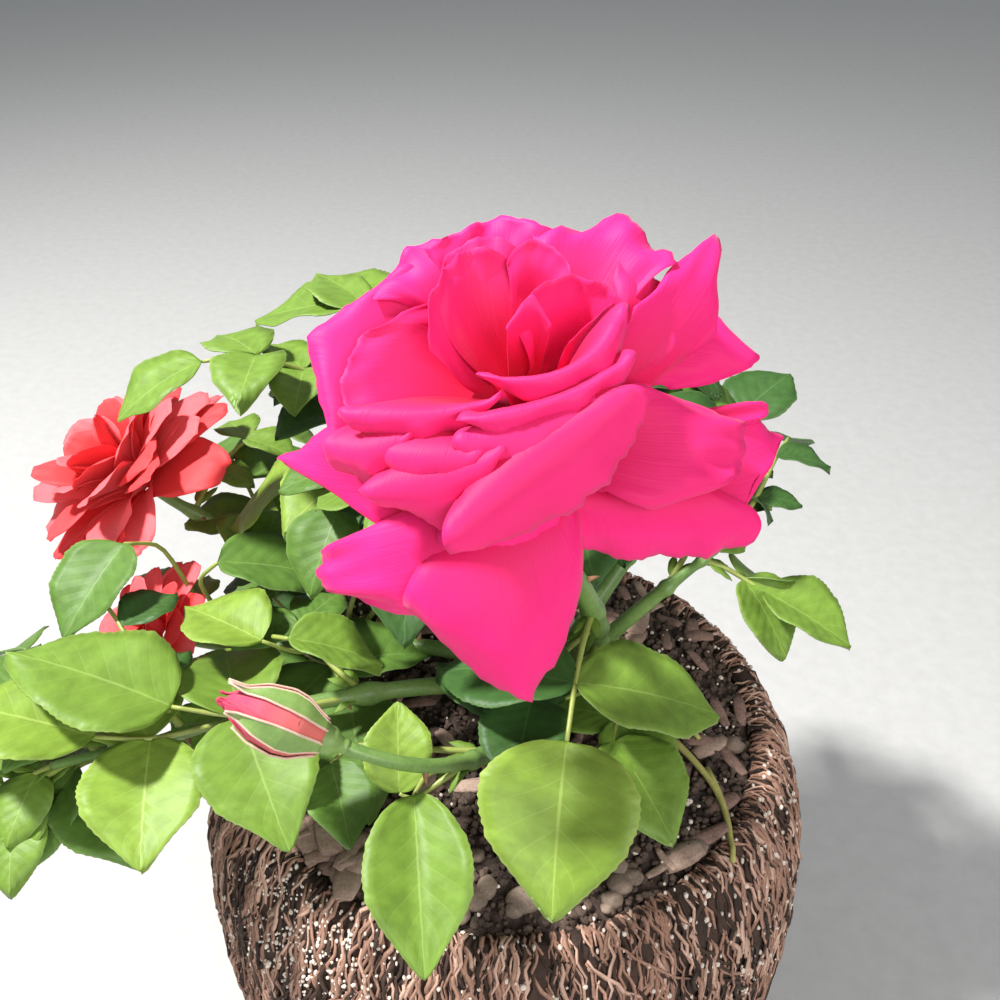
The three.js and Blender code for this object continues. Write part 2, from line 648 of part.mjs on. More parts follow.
// Growth: placed leaves first, then seeded ones in rounds. A leaflet is kept only where it is free,
// a leaf only where its stalk and its end leaflet are, and a seeded leaf keeps off the bare corner
function grow() {
  const kept = [];
  const offCanes = (leaf, spots) => canes.every((cane) => {
    return cane === leaf.cane || farFrom(spots, cane.line, GAP_CANE);
  });
  const isFree = (leaf, leaflet, room) => {
    leaflet.spots = leafletSpots(leaflet);
    return leaflet.spots.every(inTheOpen) && offCanes(leaf, leaflet.spots) && kept.every((other) => {
      const own = other.cane === leaf.cane;
      return farFrom(leaflet.spots, other.spots, room * (own ? GAP_OWN : GAP_OTHER))
        && (own || farFrom(leaflet.spots, other.stalk, GAP_STALK));
    });
  };
  const outside = ({ x, y }) => (x > BARE_CORNER[0] && y < BARE_CORNER[1]) || y < FRONT_REACH;
  const consider = (leaf, seeded) => {
    if (seeded && leaf.leaflets.some((leaflet) => leafletSpots(leaflet).some(outside))) return false;
    const room = seeded ? 1 : PLACED_ROOM;
    const stalkFree = offCanes(leaf, leaf.stalk.slice(1))
      && kept.every((other) => other.cane === leaf.cane || farFrom(leaf.stalk, other.spots, GAP_STALK));
    if (!stalkFree || !isFree(leaf, leaf.leaflets[0], room)) return false;
    leaf.leaflets = leaf.leaflets.filter((leaflet) => isFree(leaf, leaflet, room));
    if (seeded && leaf.leaflets.length < FEWEST) return false;
    leaf.spots = leaf.leaflets.flatMap(({ spots }) => spots);
    kept.push(leaf);
    return true;
  };
  PLACED.forEach((row) => consider(placedLeaf(row), false));
  const rounds = Math.max(...canes.map(({ leaves }) => leaves));
  for (let round = 0; round < rounds; round += 1) {
    canes.filter(({ leaves }) => round < leaves).forEach((cane) => {
      for (let attempt = 0; attempt < TRIES; attempt += 1) {
        if (consider(seededLeaf(cane, round, attempt), true)) return;
      }
    });
  }
  return kept;
}

function budSolid() {
  const shapes = [turned(BUD.outline, BUD.sides)];
  for (let i = 0; i < BUD.sepals; i += 1) {
    const bearing = (360 / BUD.sepals) * i;
    const out = heading(bearing, 0);
    const foot = out.clone().multiplyScalar(BUD.sepalOut).add(vec(0, 0, BUD.sepalRoot));
    const ahead = heading(bearing, BUD.sepalPitch);
    const up = heading(bearing + 180, 90 - BUD.sepalPitch);
    shapes.push(leafletSolid({ foot, ahead, up, length: BUD.sepalLength, width: BUD.sepalWidth }));
  }
  return body(union(shapes));
}

// The plant: canes, then what sits on their tips, then leaves
const canes = CANES.map((cane) => ({ ...cane, line: caneLine(cane) }));

const roses = [...ROSES, BUD].map((rose) => {
  const [tip, axis] = along(canes.find(({ name }) => name === rose.cane).line, 1);
  const at = tip.clone().addScaledVector(axis, CLEAR);
  return { ...rose, at, axis, middle: at.clone().addScaledVector(axis, rose.middle) };
});

const leaves = grow();

function caneTube({ line, radii }, margin) {
  const rings = Array.from({ length: CANE_RINGS + 1 }, (_, i) => along(line, i / CANE_RINGS)[0]);
  return tube(rings, radii.map((radius) => radius + margin), CANE_SIDES);
}

// A cane is cut square across where it enters its mass: the bough below, the mass's stem above
function boughSolid(cane, index) {
  const [at, ahead] = along(cane.line, cane.bare);
  const foot = caneTube(cane, 0).trimByPlane(ahead.clone().negate().toArray(), -at.dot(ahead));
  const before = canes.slice(0, index).map((other) => caneTube(other, CLEAR));
  return body(foot.subtract(union([crownShape(CLEAR), ...before])));
}

function stemSolid(cane) {
  const [at, ahead] = along(cane.line, cane.bare);
  return caneTube(cane, 0).trimByPlane(ahead.toArray(), at.dot(ahead) + CLEAR);
}

// A mass: its stem and leaves, without each stalk and leaflet that would cut into a neighbour
function foliageSolid(cane, others) {
  const isClear = (shape) => others.every((other) => shape.intersect(other).isEmpty());
  const shapes = [stemSolid(cane)];
  leaves.filter((leaf) => leaf.cane === cane).forEach(({ stalk, leaflets }) => {
    const twig = tube(stalk, STALK_RADII, STALK_SIDES);
    if (!isClear(twig)) return;
    shapes.push(twig, ...leaflets.map(leafletSolid).filter(isClear));
  });
  return body(union(shapes));
}

// The scene graph
const group = new THREE.Group();

function add(name, shape, finish) {
  const mesh = shape.getMesh();
  const geometry = new THREE.BufferGeometry();
  geometry.setAttribute("position", new THREE.BufferAttribute(Float32Array.from(mesh.vertProperties), 3));
  geometry.setIndex([...mesh.triVerts]);
  geometry.computeVertexNormals();
  const [color, roughness] = FINISH[finish];
  const material = new THREE.MeshStandardMaterial({ color, roughness, metalness: 0 });
  const piece = new THREE.Mesh(geometry, material);
  piece.name = name;
  group.add(piece);
}

add("fibre_pot", fibrePot(), "fibre");
add("soil_mound", soilMound(), "soil");
add("crown", body(crownShape(0)), "bark");

const taken = [];
canes.forEach((cane, index) => {
  const bough = boughSolid(cane, index);
  taken.push(bough);
  add(`${cane.name}_bough`, bough, "cane");
});

roses.forEach((rose) => {
  const shape = placed(rose.whorls ? roseSolid(rose) : budSolid(), rose.at, facing(rose.axis));
  taken.push(shape);
  add(rose.name, shape, rose.finish);
});

canes.forEach((cane) => {
  const foliage = foliageSolid(cane, taken);
  taken.push(foliage);
  add(`${cane.name}_foliage`, foliage, "leaf");
});

export default group;
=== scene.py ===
# %% [markdown]
# # A rose bush in a fibre pot
# The bush stands in a round pot of matted fibre. One large pink bloom leans to the viewer over a crown
# of toothed leaves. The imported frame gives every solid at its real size, in metres, so each piece here
# grows in the place that its solid holds.

# %% Frame
import math
import bpy
import numpy as np
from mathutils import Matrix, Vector


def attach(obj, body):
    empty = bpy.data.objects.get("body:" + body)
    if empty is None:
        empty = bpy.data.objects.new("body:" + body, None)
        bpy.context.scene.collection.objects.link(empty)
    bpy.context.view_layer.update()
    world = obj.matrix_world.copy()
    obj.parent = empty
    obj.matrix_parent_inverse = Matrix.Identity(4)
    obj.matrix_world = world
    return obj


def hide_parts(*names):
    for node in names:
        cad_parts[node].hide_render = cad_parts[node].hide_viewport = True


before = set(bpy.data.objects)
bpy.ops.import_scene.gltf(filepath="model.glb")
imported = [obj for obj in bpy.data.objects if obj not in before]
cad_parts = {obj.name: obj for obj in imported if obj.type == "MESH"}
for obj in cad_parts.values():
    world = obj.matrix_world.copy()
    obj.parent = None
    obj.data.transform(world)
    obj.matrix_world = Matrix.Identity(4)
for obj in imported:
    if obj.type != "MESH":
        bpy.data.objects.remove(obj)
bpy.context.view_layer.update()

NODES = sorted(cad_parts)

# %% [markdown]
# ## Camera, light and floor
# The photograph looks down on the bloom from close by, in sun from the upper left. One small strong lamp
# stands for the sun. A wide weak one in front and a pale sky keep the shadows from turning black, and a
# pale floor shows the outline of every leaf. A picture of a sky would light it too, but with plain lamps a
# learner can see which light does what.

# %% Camera, light and floor
# Places and sizes are in metres here, and the lens is in millimetres.
CAMERA_AT = (-0.002, -0.2995, 0.525)
CAMERA_PITCH = 35.3
CAMERA_LENS = 37.08
NEAREST_SEEN = 0.01
KEY_AT = (-0.80, 0.06, 1.55)
KEY_SIZE = 0.13
KEY_WATTS = 48
FILL_AT = (0.5, -1.1, 0.9)
FILL_SIZE = 0.9
FILL_WATTS = 14
AIM_HEIGHT = 0.25
SKY = (0.80, 0.86, 0.92, 1)
SKY_STRENGTH = 0.38
FLOOR_SIZE, FLOOR_DROP = 6, 0.0005

scene = bpy.context.scene
scene.view_settings.view_transform = "Standard"


def add_light(name, place, size, watts):
    """A square lamp that faces the middle of the plant."""
    bpy.ops.object.light_add(type="AREA", location=place)
    lamp = bpy.context.object
    lamp.name = name
    lamp.data.size = size
    lamp.data.energy = watts
    aim = -lamp.location.copy()
    aim.z += AIM_HEIGHT
    lamp.rotation_euler = aim.to_track_quat("-Z", "Y").to_euler()


bpy.ops.object.camera_add(location=CAMERA_AT, rotation=(math.radians(90 - CAMERA_PITCH), 0, 0))
camera = bpy.context.object
camera.data.lens = CAMERA_LENS
camera.data.clip_start = NEAREST_SEEN
scene.camera = camera
add_light("key_light", KEY_AT, KEY_SIZE, KEY_WATTS)
add_light("fill_light", FILL_AT, FILL_SIZE, FILL_WATTS)
world = bpy.data.worlds.new("pale_sky")
scene.world = world
world.use_nodes = True
background = world.node_tree.nodes["Background"]
background.inputs["Color"].default_value = SKY
background.inputs["Strength"].default_value = SKY_STRENGTH
bpy.ops.mesh.primitive_plane_add(size=FLOOR_SIZE, location=(0, 0, -FLOOR_DROP))
floor = bpy.context.object
floor.name = "floor"
print("camera at", tuple(camera.location))

# %% [markdown]
# ## Chance and directions
# Plants look alive when no two parts match, yet the picture has to come out the same every time. A
# random generator would change every leaf as soon as one call is added before it. So each stray comes from
# a formula of a few keys instead. Lengths below are millimetres, as a gardener would measure them, and are
# turned into metres when a mesh is made.

# %% Chance and directions
MM = 0.001
UP = np.array([0.0, 0.0, 1.0])
CHANCE_WEIGHTS, CHANCE_SPREAD = (12.9898, 78.233, 37.719, 9.137), 43758.5453


def chance(*keys):
    """A number from 0 to 1 that looks random, and is the same whenever the keys are."""
    x = math.sin(sum(key * weight for key, weight in zip(keys, CHANCE_WEIGHTS))) * CHANCE_SPREAD
    return x - math.floor(x)


def stray(keys, least, more):
    """A value by chance, from the least one to that and more."""
    return least + more * chance(*keys)


def unit(v):
    return v / np.linalg.norm(v)


def heading(bearing, pitch):
    """A unit vector from a bearing, counted from x, and a pitch above the ground, in degrees."""
    b, p = math.radians(bearing), math.radians(pitch)
    return np.array([math.cos(p) * math.cos(b), math.cos(p) * math.sin(b), math.sin(p)])


def smooth(x):
    """Eases from 0 to 1, and stays there."""
    x = np.clip(x, 0, 1)
    return x * x * (3 - 2 * x)


def lattice(points, scale, seed):
    """Smooth noise from -1 to 1 at points, made of a few crossed waves."""
    total = np.zeros(len(points))
    for i in range(5):
        way = unit(np.array([chance(seed, i, k) - 0.5 for k in range(3)]))
        pace = scale * (0.7 + 0.9 * chance(seed, i, 4))
        side = np.roll(way, 1)
        bent = 2.1 * np.sin(points @ side * pace * 0.7) + 6 * chance(seed, i, 5)
        total += np.sin(points @ way * pace + bent)
    return total / 3


print("first strays", [round(chance(i, 1), 3) for i in range(3)])

# %% [markdown]
# ## Curves
# Canes, stalks and strands all follow a curve. Blender has curve objects with a thickness, but a plain list
# of points can also be measured, smoothed, and asked where a leaf sits on it.

# %% Curves
LAST_SHARE = 0.9999


def bezier(a, leaves, b, arrives, ease, steps):
    """A curve from a to b with a heading at each end."""
    reach = np.linalg.norm(b - a) * ease
    t = np.linspace(0, 1, steps + 1)[:, None]
    p, q = a + leaves * reach, b - arrives * reach
    return (1 - t) ** 3 * a + 3 * (1 - t) ** 2 * t * p + 3 * (1 - t) * t * t * q + t ** 3 * b


def along(points, share):
    """The place and the heading at a share of a path."""
    x = min(share, LAST_SHARE) * (len(points) - 1)
    i = int(x)
    return points[i] + (points[i + 1] - points[i]) * (x - i), unit(points[i + 1] - points[i])


def sampled(line, shares, rounds):
    """Places at shares of a path, with the path's corners smoothed away."""
    path = np.array([along(line, share)[0] for share in shares])
    for _ in range(rounds):
        path[1:-1] = (path[:-2] + 2 * path[1:-1] + path[2:]) / 4
    return path


def whole_turn(count):
    return np.arange(count) * 2 * math.pi / count


def round_axis(radius, angle, z):
    """Places at a radius, an angle and a height round the upright axis."""
    return np.stack([radius * np.cos(angle), radius * np.sin(angle), z], axis=-1)


print("corners of a hexagon, in degrees", np.degrees(whole_turn(6)).round())

# %% [markdown]
# ## From arrays to pieces
# Thousands of strands, grains and leaflets would be slow to add one by one. One grain is modelled, its
# corners are read as an array, and copies of that array, stretched and moved, are joined in one mesh. Blades
# are bent copies of one flat grid in the same way.

# %% From arrays to pieces
def draw(add, **settings):
    """Adds one of Blender's own shapes, with nothing else selected."""
    bpy.ops.object.select_all(action="DESELECT")
    add(**settings)
    return bpy.context.object


def take(obj):
    """The corners and faces of a model, which is then removed."""
    mesh = obj.data
    points = np.empty(len(mesh.vertices) * 3)
    mesh.vertices.foreach_get("co", points)
    faces = [tuple(face.vertices) for face in mesh.polygons]
    bpy.data.objects.remove(obj)
    return points.reshape(-1, 3), faces


def flat_grid(across, along):
    """A square grid that reaches from -1 to 1."""
    return take(draw(bpy.ops.mesh.primitive_grid_add, x_subdivisions=across, y_subdivisions=along, size=2))


def make_piece(name, parts, material, nodes, uv=False, flat=False):
    """One object from many parts. A part is (points in mm, faces) or (points, faces, UV of each point)."""
    points = np.concatenate([part[0] for part in parts]) * MM
    starts = np.cumsum([0] + [len(part[0]) for part in parts])
    loops, sizes, known = [], [], {}
    for start, part in zip(starts, parts):
        # Copies of a shape share its list of faces, so each list is turned into arrays once.
        key = id(part[1])
        if key not in known:
            known[key] = (np.concatenate([np.array(f) for f in part[1]]), np.array([len(f) for f in part[1]]))
        flat_faces, counts = known[key]
        loops.append(flat_faces + start)
        sizes.append(counts)
    loops, sizes = np.concatenate(loops), np.concatenate(sizes)
    mesh = bpy.data.meshes.new(name)
    mesh.vertices.add(len(points))
    mesh.vertices.foreach_set("co", points.ravel())
    mesh.loops.add(len(loops))
    mesh.loops.foreach_set("vertex_index", loops.astype(np.int32))
    mesh.polygons.add(len(sizes))
    mesh.polygons.foreach_set("loop_start", np.concatenate([[0], np.cumsum(sizes)[:-1]]).astype(np.int32))
    mesh.update(calc_edges=True)
    mesh.polygons.foreach_set("use_smooth", np.full(len(sizes), not flat))
    if uv:
        spots = np.concatenate([part[2] for part in parts])[loops]
        mesh.uv_layers.new(name="OFBake").data.foreach_set("uv", spots.ravel())
    mesh.validate()
    piece = bpy.data.objects.new(name, mesh)
    scene.collection.objects.link(piece)
    mesh.materials.append(material)
    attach(piece, "root")
    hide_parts(*nodes)
    print(name, "triangles", int((sizes - 2).sum()))
    return piece


print("millimetres in a metre", round(1 / MM))

# %% [markdown]
# ## Tubes
# Canes, stalks, thorns, strands and flakes of bark are all tubes: a ring of corners is carried along a path.
# A bevelled curve could do that too, but here each corner of each ring can also swell on its own.

# %% Tubes
FIRST_SIDE = (0.31, 0.17, 0.93)
TUBES = {}


def sides_along(path):
    """Two sides of a path, square to it and each other, that turn with it as little as they can."""
    ahead = np.gradient(path, axis=0)
    ahead /= np.linalg.norm(ahead, axis=1)[:, None]
    side = np.cross(ahead[0], FIRST_SIDE)
    sides = []
    for way in ahead:
        side = unit(side - way * (side @ way))
        sides.append(side)
    sides = np.array(sides)
    return sides, np.cross(ahead, sides)


def tube(path, radii, sides=8, swell=None):
    """A closed tube through a path, with one radius for each point and a swell of each ring's corner."""
    side, up = sides_along(path)
    angles = whole_turn(sides)
    ring = side[:, None, :] * np.cos(angles)[:, None] + up[:, None, :] * np.sin(angles)[:, None]
    reach = np.asarray(radii)[:, None] * (1 if swell is None else swell)
    points = (path[:, None, :] + ring * (reach * np.ones((len(path), sides)))[:, :, None]).reshape(-1, 3)
    key = (len(path), sides)
    if key not in TUBES:
        last = len(path) - 1
        faces = [tuple(range(sides - 1, -1, -1)), tuple(last * sides + k for k in range(sides))]
        for i in range(last):
            for k in range(sides):
                a, b = i * sides + k, i * sides + (k + 1) % sides
                faces.append((a, b, b + sides, a + sides))
        TUBES[key] = faces
    return points, TUBES[key]


print("a tube of 3 rings has", len(tube(np.array([UP * i for i in range(3)]), [1, 1, 1])[1]), "faces")

# %% [markdown]
# ## Shader helpers
# A finish is a tree of small nodes. They could be clicked together by hand, but a long tree is hard to
# follow on the screen. So a few helpers make the nodes from code: one for arithmetic, one that blends two
# colours and one for noise.

# %% Shader helpers
NOISE_ROUGHNESS = 0.55


def new_group(name, inputs, outputs):
    tree = bpy.data.node_groups.new(name, "ShaderNodeTree")
    for way, sockets in (("INPUT", inputs), ("OUTPUT", outputs)):
        for label, kind in sockets.items():
            tree.interface.new_socket(name=label, in_out=way, socket_type="NodeSocket" + kind)
    return tree, tree.nodes.new("NodeGroupInput"), tree.nodes.new("NodeGroupOutput")


def feed(tree, socket, value):
    """Gives a socket a plain value, or links another node's output to it."""
    if isinstance(value, (int, float, tuple)):
        socket.default_value = value
    else:
        tree.links.new(value, socket)


def sums(tree, kind, a, b=0.0, clamp=False):
    node = tree.nodes.new("ShaderNodeMath")
    node.operation = kind
    node.use_clamp = clamp
    feed(tree, node.inputs[0], a)
    feed(tree, node.inputs[1], b)
    return node.outputs[0]


def times(tree, a, b, clamp=False):
    return sums(tree, "MULTIPLY", a, b, clamp)


def past(tree, value, start, gain):
    """How far a value lies past a start, times a gain, and kept between 0 and 1."""
    return times(tree, sums(tree, "SUBTRACT", value, start), gain, clamp=True)


def blend_colours(tree, share, a, b):
    node = tree.nodes.new("ShaderNodeMix")
    node.data_type = "RGBA"
    feed(tree, node.inputs[0], share)
    feed(tree, node.inputs[6], a)
    feed(tree, node.inputs[7], b)
    return node.outputs[2]


def noise(tree, vector, scale, detail=3.0):
    node = tree.nodes.new("ShaderNodeTexNoise")
    node.inputs["Scale"].default_value = scale
    node.inputs["Detail"].default_value = detail
    node.inputs["Roughness"].default_value = NOISE_ROUGHNESS
    tree.links.new(vector, node.inputs["Vector"])
    return node.outputs["Fac"]


print("noise roughness", NOISE_ROUGHNESS)

# %% [markdown]
# ## Shared effects
# Two effects serve several finishes, so each is a node group that is made once. Mottle varies a colour with
# noise of two sizes, read from object coordinates so that it stays on the plant. Veins reads a blade's own
# map: across from edge to edge and along from foot to tip, with ribs that slant forward from the middle one.

# %% Shared effects
MOTTLE_COARSE, MOTTLE_FINE, MOTTLE_SHARE = 90, 900, 0.6
MOTTLE_START, MOTTLE_GAIN = 0.36, 3.4
RIB_HALF, RIB_SHARP, RIB_BEND, RIB_FADE, RIB_STRENGTH = 0.045, 22, 0.8, 0.8, 0.6
MIDRIB_HALF, MIDRIB_SHARP = 0.028, 60


def mottle_group():
    tree, given, out = new_group(
        "mottle", dict(Light="Color", Dark="Color"), dict(Color="Color", Height="Float"))
    place = tree.nodes.new("ShaderNodeTexCoord").outputs["Object"]
    coarse = times(tree, noise(tree, place, MOTTLE_COARSE), MOTTLE_SHARE)
    fine = times(tree, noise(tree, place, MOTTLE_FINE), 1 - MOTTLE_SHARE)
    both = sums(tree, "ADD", coarse, fine)
    share = past(tree, both, MOTTLE_START, MOTTLE_GAIN)
    colour = blend_colours(tree, share, given.outputs["Dark"], given.outputs["Light"])
    tree.links.new(colour, out.inputs["Color"])
    tree.links.new(both, out.inputs["Height"])
    return tree


def vein_group():
    tree, given, out = new_group(
        "veins", dict(Map="Vector", Ribs="Float", Slant="Float"),
        dict(Rib="Float", Quilt="Float", Under="Float", Out="Float", Along="Float"))
    parts = tree.nodes.new("ShaderNodeSeparateXYZ")
    tree.links.new(given.outputs["Map"], parts.inputs[0])
    # The map's left half is the blade's top, and its right half the underside.
    double = times(tree, parts.outputs["X"], 2)
    under = sums(tree, "FLOOR", double)
    away = sums(tree, "ABSOLUTE", sums(tree, "SUBTRACT", times(tree, sums(tree, "FRACT", double), 2), 1))
    lead = times(tree, sums(tree, "POWER", away, RIB_BEND), given.outputs["Slant"])
    step = times(tree, sums(tree, "SUBTRACT", parts.outputs["Y"], lead), given.outputs["Ribs"])
    wave = sums(tree, "ABSOLUTE", sums(tree, "SUBTRACT", sums(tree, "FRACT", step), 0.5))
    fade = sums(tree, "SUBTRACT", 1, times(tree, away, RIB_FADE), clamp=True)
    side_rib = times(tree, past(tree, RIB_HALF, wave, RIB_SHARP), times(tree, fade, RIB_STRENGTH))
    rib = sums(tree, "MAXIMUM", side_rib, past(tree, MIDRIB_HALF, away, MIDRIB_SHARP))
    found = dict(Rib=rib, Quilt=times(tree, wave, 2), Under=under, Out=away, Along=parts.outputs["Y"])
    for label, value in found.items():
        tree.links.new(value, out.inputs[label])
    return tree


MOTTLE, VEINS = mottle_group(), vein_group()
print("groups", [group.name for group in bpy.data.node_groups])

# %% [markdown]
# ## Materials
# Every finish here is one principled shader. Its colour comes from one of the groups, and a bump from the
# same pattern roughens the light on it, which costs no faces.

# %% Materials
def new_material(name, roughness, **sockets):
    material = bpy.data.materials.new(name)
    material.use_nodes = True
    shader = material.node_tree.nodes["Principled BSDF"]
    shader.inputs["Roughness"].default_value = roughness
    for label, value in sockets.items():
        shader.inputs[label.replace("_", " ")].default_value = value
    return material, material.node_tree, shader


def use_group(tree, group, **values):
    node = tree.nodes.new("ShaderNodeGroup")
    node.node_tree = group
    for label, value in values.items():
        feed(tree, node.inputs[label], value)
    return node


def raise_surface(tree, shader, height, strength, distance):
    bump = tree.nodes.new("ShaderNodeBump")
    bump.inputs["Strength"].default_value = strength
    bump.inputs["Distance"].default_value = distance
    tree.links.new(height, bump.inputs["Height"])
    tree.links.new(bump.outputs["Normal"], shader.inputs["Normal"])


def own_map(tree):
    node = tree.nodes.new("ShaderNodeUVMap")
    node.uv_map = "OFBake"
    return node.outputs["UV"]


def mottled(name, light, dark, roughness, relief=0.4, distance=0.0006, **sockets):
    material, tree, shader = new_material(name, roughness, **sockets)
    spots = use_group(tree, MOTTLE, Light=(*light, 1), Dark=(*dark, 1))
    tree.links.new(spots.outputs["Color"], shader.inputs["Base Color"])
    raise_surface(tree, shader, spots.outputs["Height"], relief, distance)
    return material


floor.data.materials.append(mottled("pale_floor", (0.55, 0.54, 0.52), (0.50, 0.49, 0.47), 0.9, 0.1))
print("first finish", floor.data.materials[0].name)

# %% [markdown]
# ## Pot
# The pot is moulded from coarse plant fibre. Its body is a closed wall: a ring is extruded up the outside,
# over the lip and down the inside, as a potter pulls one up. A profile that is spun round would do as well.
# The wall is the dark ground that shows between the strands, so it lies a little under the solid's surface.
# Its dark colour is painted shade in the gaps between the strands.

# %% Pot wall
POT_WALL, POT_FLOOR = 9, 10
POT_OUTLINE = [(112, 0), (121, 6), (126, 50), (130, 130), (127, 168), (121, 188), (113, 202)]
POT_LIP = [(107, 207), (101, 205)]
POT_SIDES = 168
RIDGE_CORNERS = 84
RIDGE_DEPTHS, RIDGE_CHANCE = (0.1, 1.5), (0.7, 1.2)
RIDGE_WANDER, RIDGE_WAVE = 0.28, 27
FIBRE_SKIN = 1.2
WALL_SINK, WALL_ROUGH, WALL_NOISE = 0.25, 0.25, 0.5
WALL_MIDDLE = [(116, 0), (114, 190), (108, 202)]

# fibre_dark is painted shade on the wall between the strands, and the own tone of the darkest strands.
FIBRE_DARK = mottled("fibre_dark", (0.075, 0.040, 0.026), (0.018, 0.010, 0.007), 0.95)
FIBRE_MID = mottled("fibre_mid", (0.43, 0.240, 0.170), (0.220, 0.115, 0.075), 0.85)
FIBRE_PALE = mottled("fibre_pale", (0.64, 0.42, 0.320), (0.43, 0.255, 0.180), 0.85)
GRAIN_WHITE = mottled("grain_white", (0.86, 0.78, 0.68), (0.56, 0.46, 0.37), 0.8)


def ridge_ring(level, z):
    """Bearings of the corners at one height of the outside, and how deep each lies."""
    corners, depths = [], []
    for k in range(RIDGE_CORNERS):
        wander = RIDGE_WANDER * math.sin(z / RIDGE_WAVE + 2 * math.pi * chance(k, 0, 2))
        corners.append(math.pi / 2 - 2 * math.pi * (k + wander) / RIDGE_CORNERS)
        depths.append(RIDGE_DEPTHS[k % 2] + RIDGE_CHANCE[k % 2] * chance(k, level, 1))
    return corners, depths


RIDGES = [ridge_ring(level, z) for level, (r, z) in enumerate(POT_OUTLINE[1:])]


def ridge_depth(angle, z):
    """How deep the outside lies under the outline's radius, between the solid's crests and troughs."""
    depths = [np.interp(angle, corners, depth, period=2 * math.pi) for corners, depth in RIDGES]
    heights = [place[1] for place in POT_OUTLINE[1:]]
    found = np.zeros(np.shape(angle))
    for low in range(len(heights) - 1):
        share = np.clip((z - heights[low]) / (heights[low + 1] - heights[low]), 0, 1)
        between = (z >= heights[low]) & (z <= heights[low + 1])
        found = np.where(between, depths[low] * (1 - share) + depths[low + 1] * share, found)
    return found


def draw_pot():
    """The wall as by hand: a ring is extruded, moved up and scaled for each place on the outline."""
    inside = [(r - POT_WALL, z) for r, z in reversed(POT_OUTLINE[2:])]
    foot = POT_OUTLINE[1][0] - POT_WALL
    lip = [(r, z - FIBRE_SKIN) for r, z in POT_LIP]
    outline = [(r - FIBRE_SKIN, z) for r, z in POT_OUTLINE] + lip + inside + [(foot, POT_FLOOR)]
    radius, height = outline[0]
    pot = draw(bpy.ops.mesh.primitive_circle_add, vertices=POT_SIDES, radius=radius, fill_type="NGON",
               location=(0, 0, height))
    bpy.ops.object.mode_set(mode="EDIT")
    bpy.ops.mesh.flip_normals()
    for (r0, z0), (r1, z1) in zip(outline, outline[1:]):
        bpy.ops.mesh.extrude_region_move(TRANSFORM_OT_translate={"value": (0, 0, z1 - z0)})
        bpy.ops.transform.resize(value=(r1 / r0, r1 / r0, 1), center_override=(0, 0, 0))
    bpy.ops.object.mode_set(mode="OBJECT")
    return take(pot)


points, faces = draw_pot()
way_out = points * (1, 1, 0)
way_out /= np.maximum(np.linalg.norm(way_out, axis=1), 1)[:, None]
middle_radius = np.interp(points[:, 2], [z for r, z in WALL_MIDDLE], [r for r, z in WALL_MIDDLE])
outside = np.hypot(points[:, 0], points[:, 1]) > middle_radius
ridged = ridge_depth(np.arctan2(points[:, 1], points[:, 0]), points[:, 2]) * outside
points = points - way_out * (ridged + WALL_SINK + WALL_ROUGH * lattice(points, WALL_NOISE, 3))[:, None]
pot = make_piece("pot_wall", [(points, faces)], FIBRE_DARK, ["fibre_pot"])
bpy.ops.object.select_all(action="DESELECT")
bpy.context.view_layer.objects.active = pot
pot.select_set(True)
bpy.ops.object.mode_set(mode="EDIT")
bpy.ops.mesh.select_all(action="SELECT")
bpy.ops.mesh.normals_make_consistent(inside=False)
bpy.ops.object.mode_set(mode="OBJECT")

# %% [markdown]
# The matted surface is thousands of short fibres. A hair system would lay them too, but a strand that is
# only a three-sided tube is light and can be joined with the rest. Its path follows the wall's section by
# its length, so it can run over the shoulder and down the inside. Most strands stand nearly upright and
# sway; some stray across.

# %% Strands of the pot
STRANDS = 8200
STRAND_LENGTH, STRAND_RADIUS = (9, 20), (0.55, 0.6)
STRAND_STEPS, STRAND_SIDES = 6, 3
STRAND_SLANT, CROSSING_SLANT, CROSSING_FROM = 0.5, 1.7, 0.86
STRAND_SWAY, SWAY_PACE, SWAY_RADIUS = 1.0, 0.55, 125
STRAND_LIFT, STRAND_ARCH, STRAND_SINK = (-1.3, 1.1), 0.6, 0.3
STRAND_THIN, STRAND_TAPER = 0.45, (0.12, 0.76)
STRAND_TINTS = ("dark", "mid", "mid", "pale")
LIP_INSIDE = (99.5, 200)

section = np.array(POT_OUTLINE[1:] + POT_LIP + [LIP_INSIDE], float)
section_at = np.concatenate([[0], np.cumsum(np.linalg.norm(np.diff(section, axis=0), axis=1))])
SECTION_LENGTH = section_at[-1]
LIP_START = section_at[len(POT_OUTLINE) - 2]


def on_wall(distance, angle, lift):
    """The place on the wall at a distance along its section, lifted off it."""

    def section_place(distance):
        return np.array([np.interp(distance, section_at, section[:, k]) for k in (0, 1)])

    r, z = section_place(distance)
    dr, dz = section_place(distance + 2) - section_place(distance - 2)
    size = np.maximum(np.hypot(dr, dz), 0.01)
    lift = lift - ridge_depth(angle, z) * (distance < LIP_START)
    return round_axis(r + dz / size * lift, angle, z - dr / size * lift)


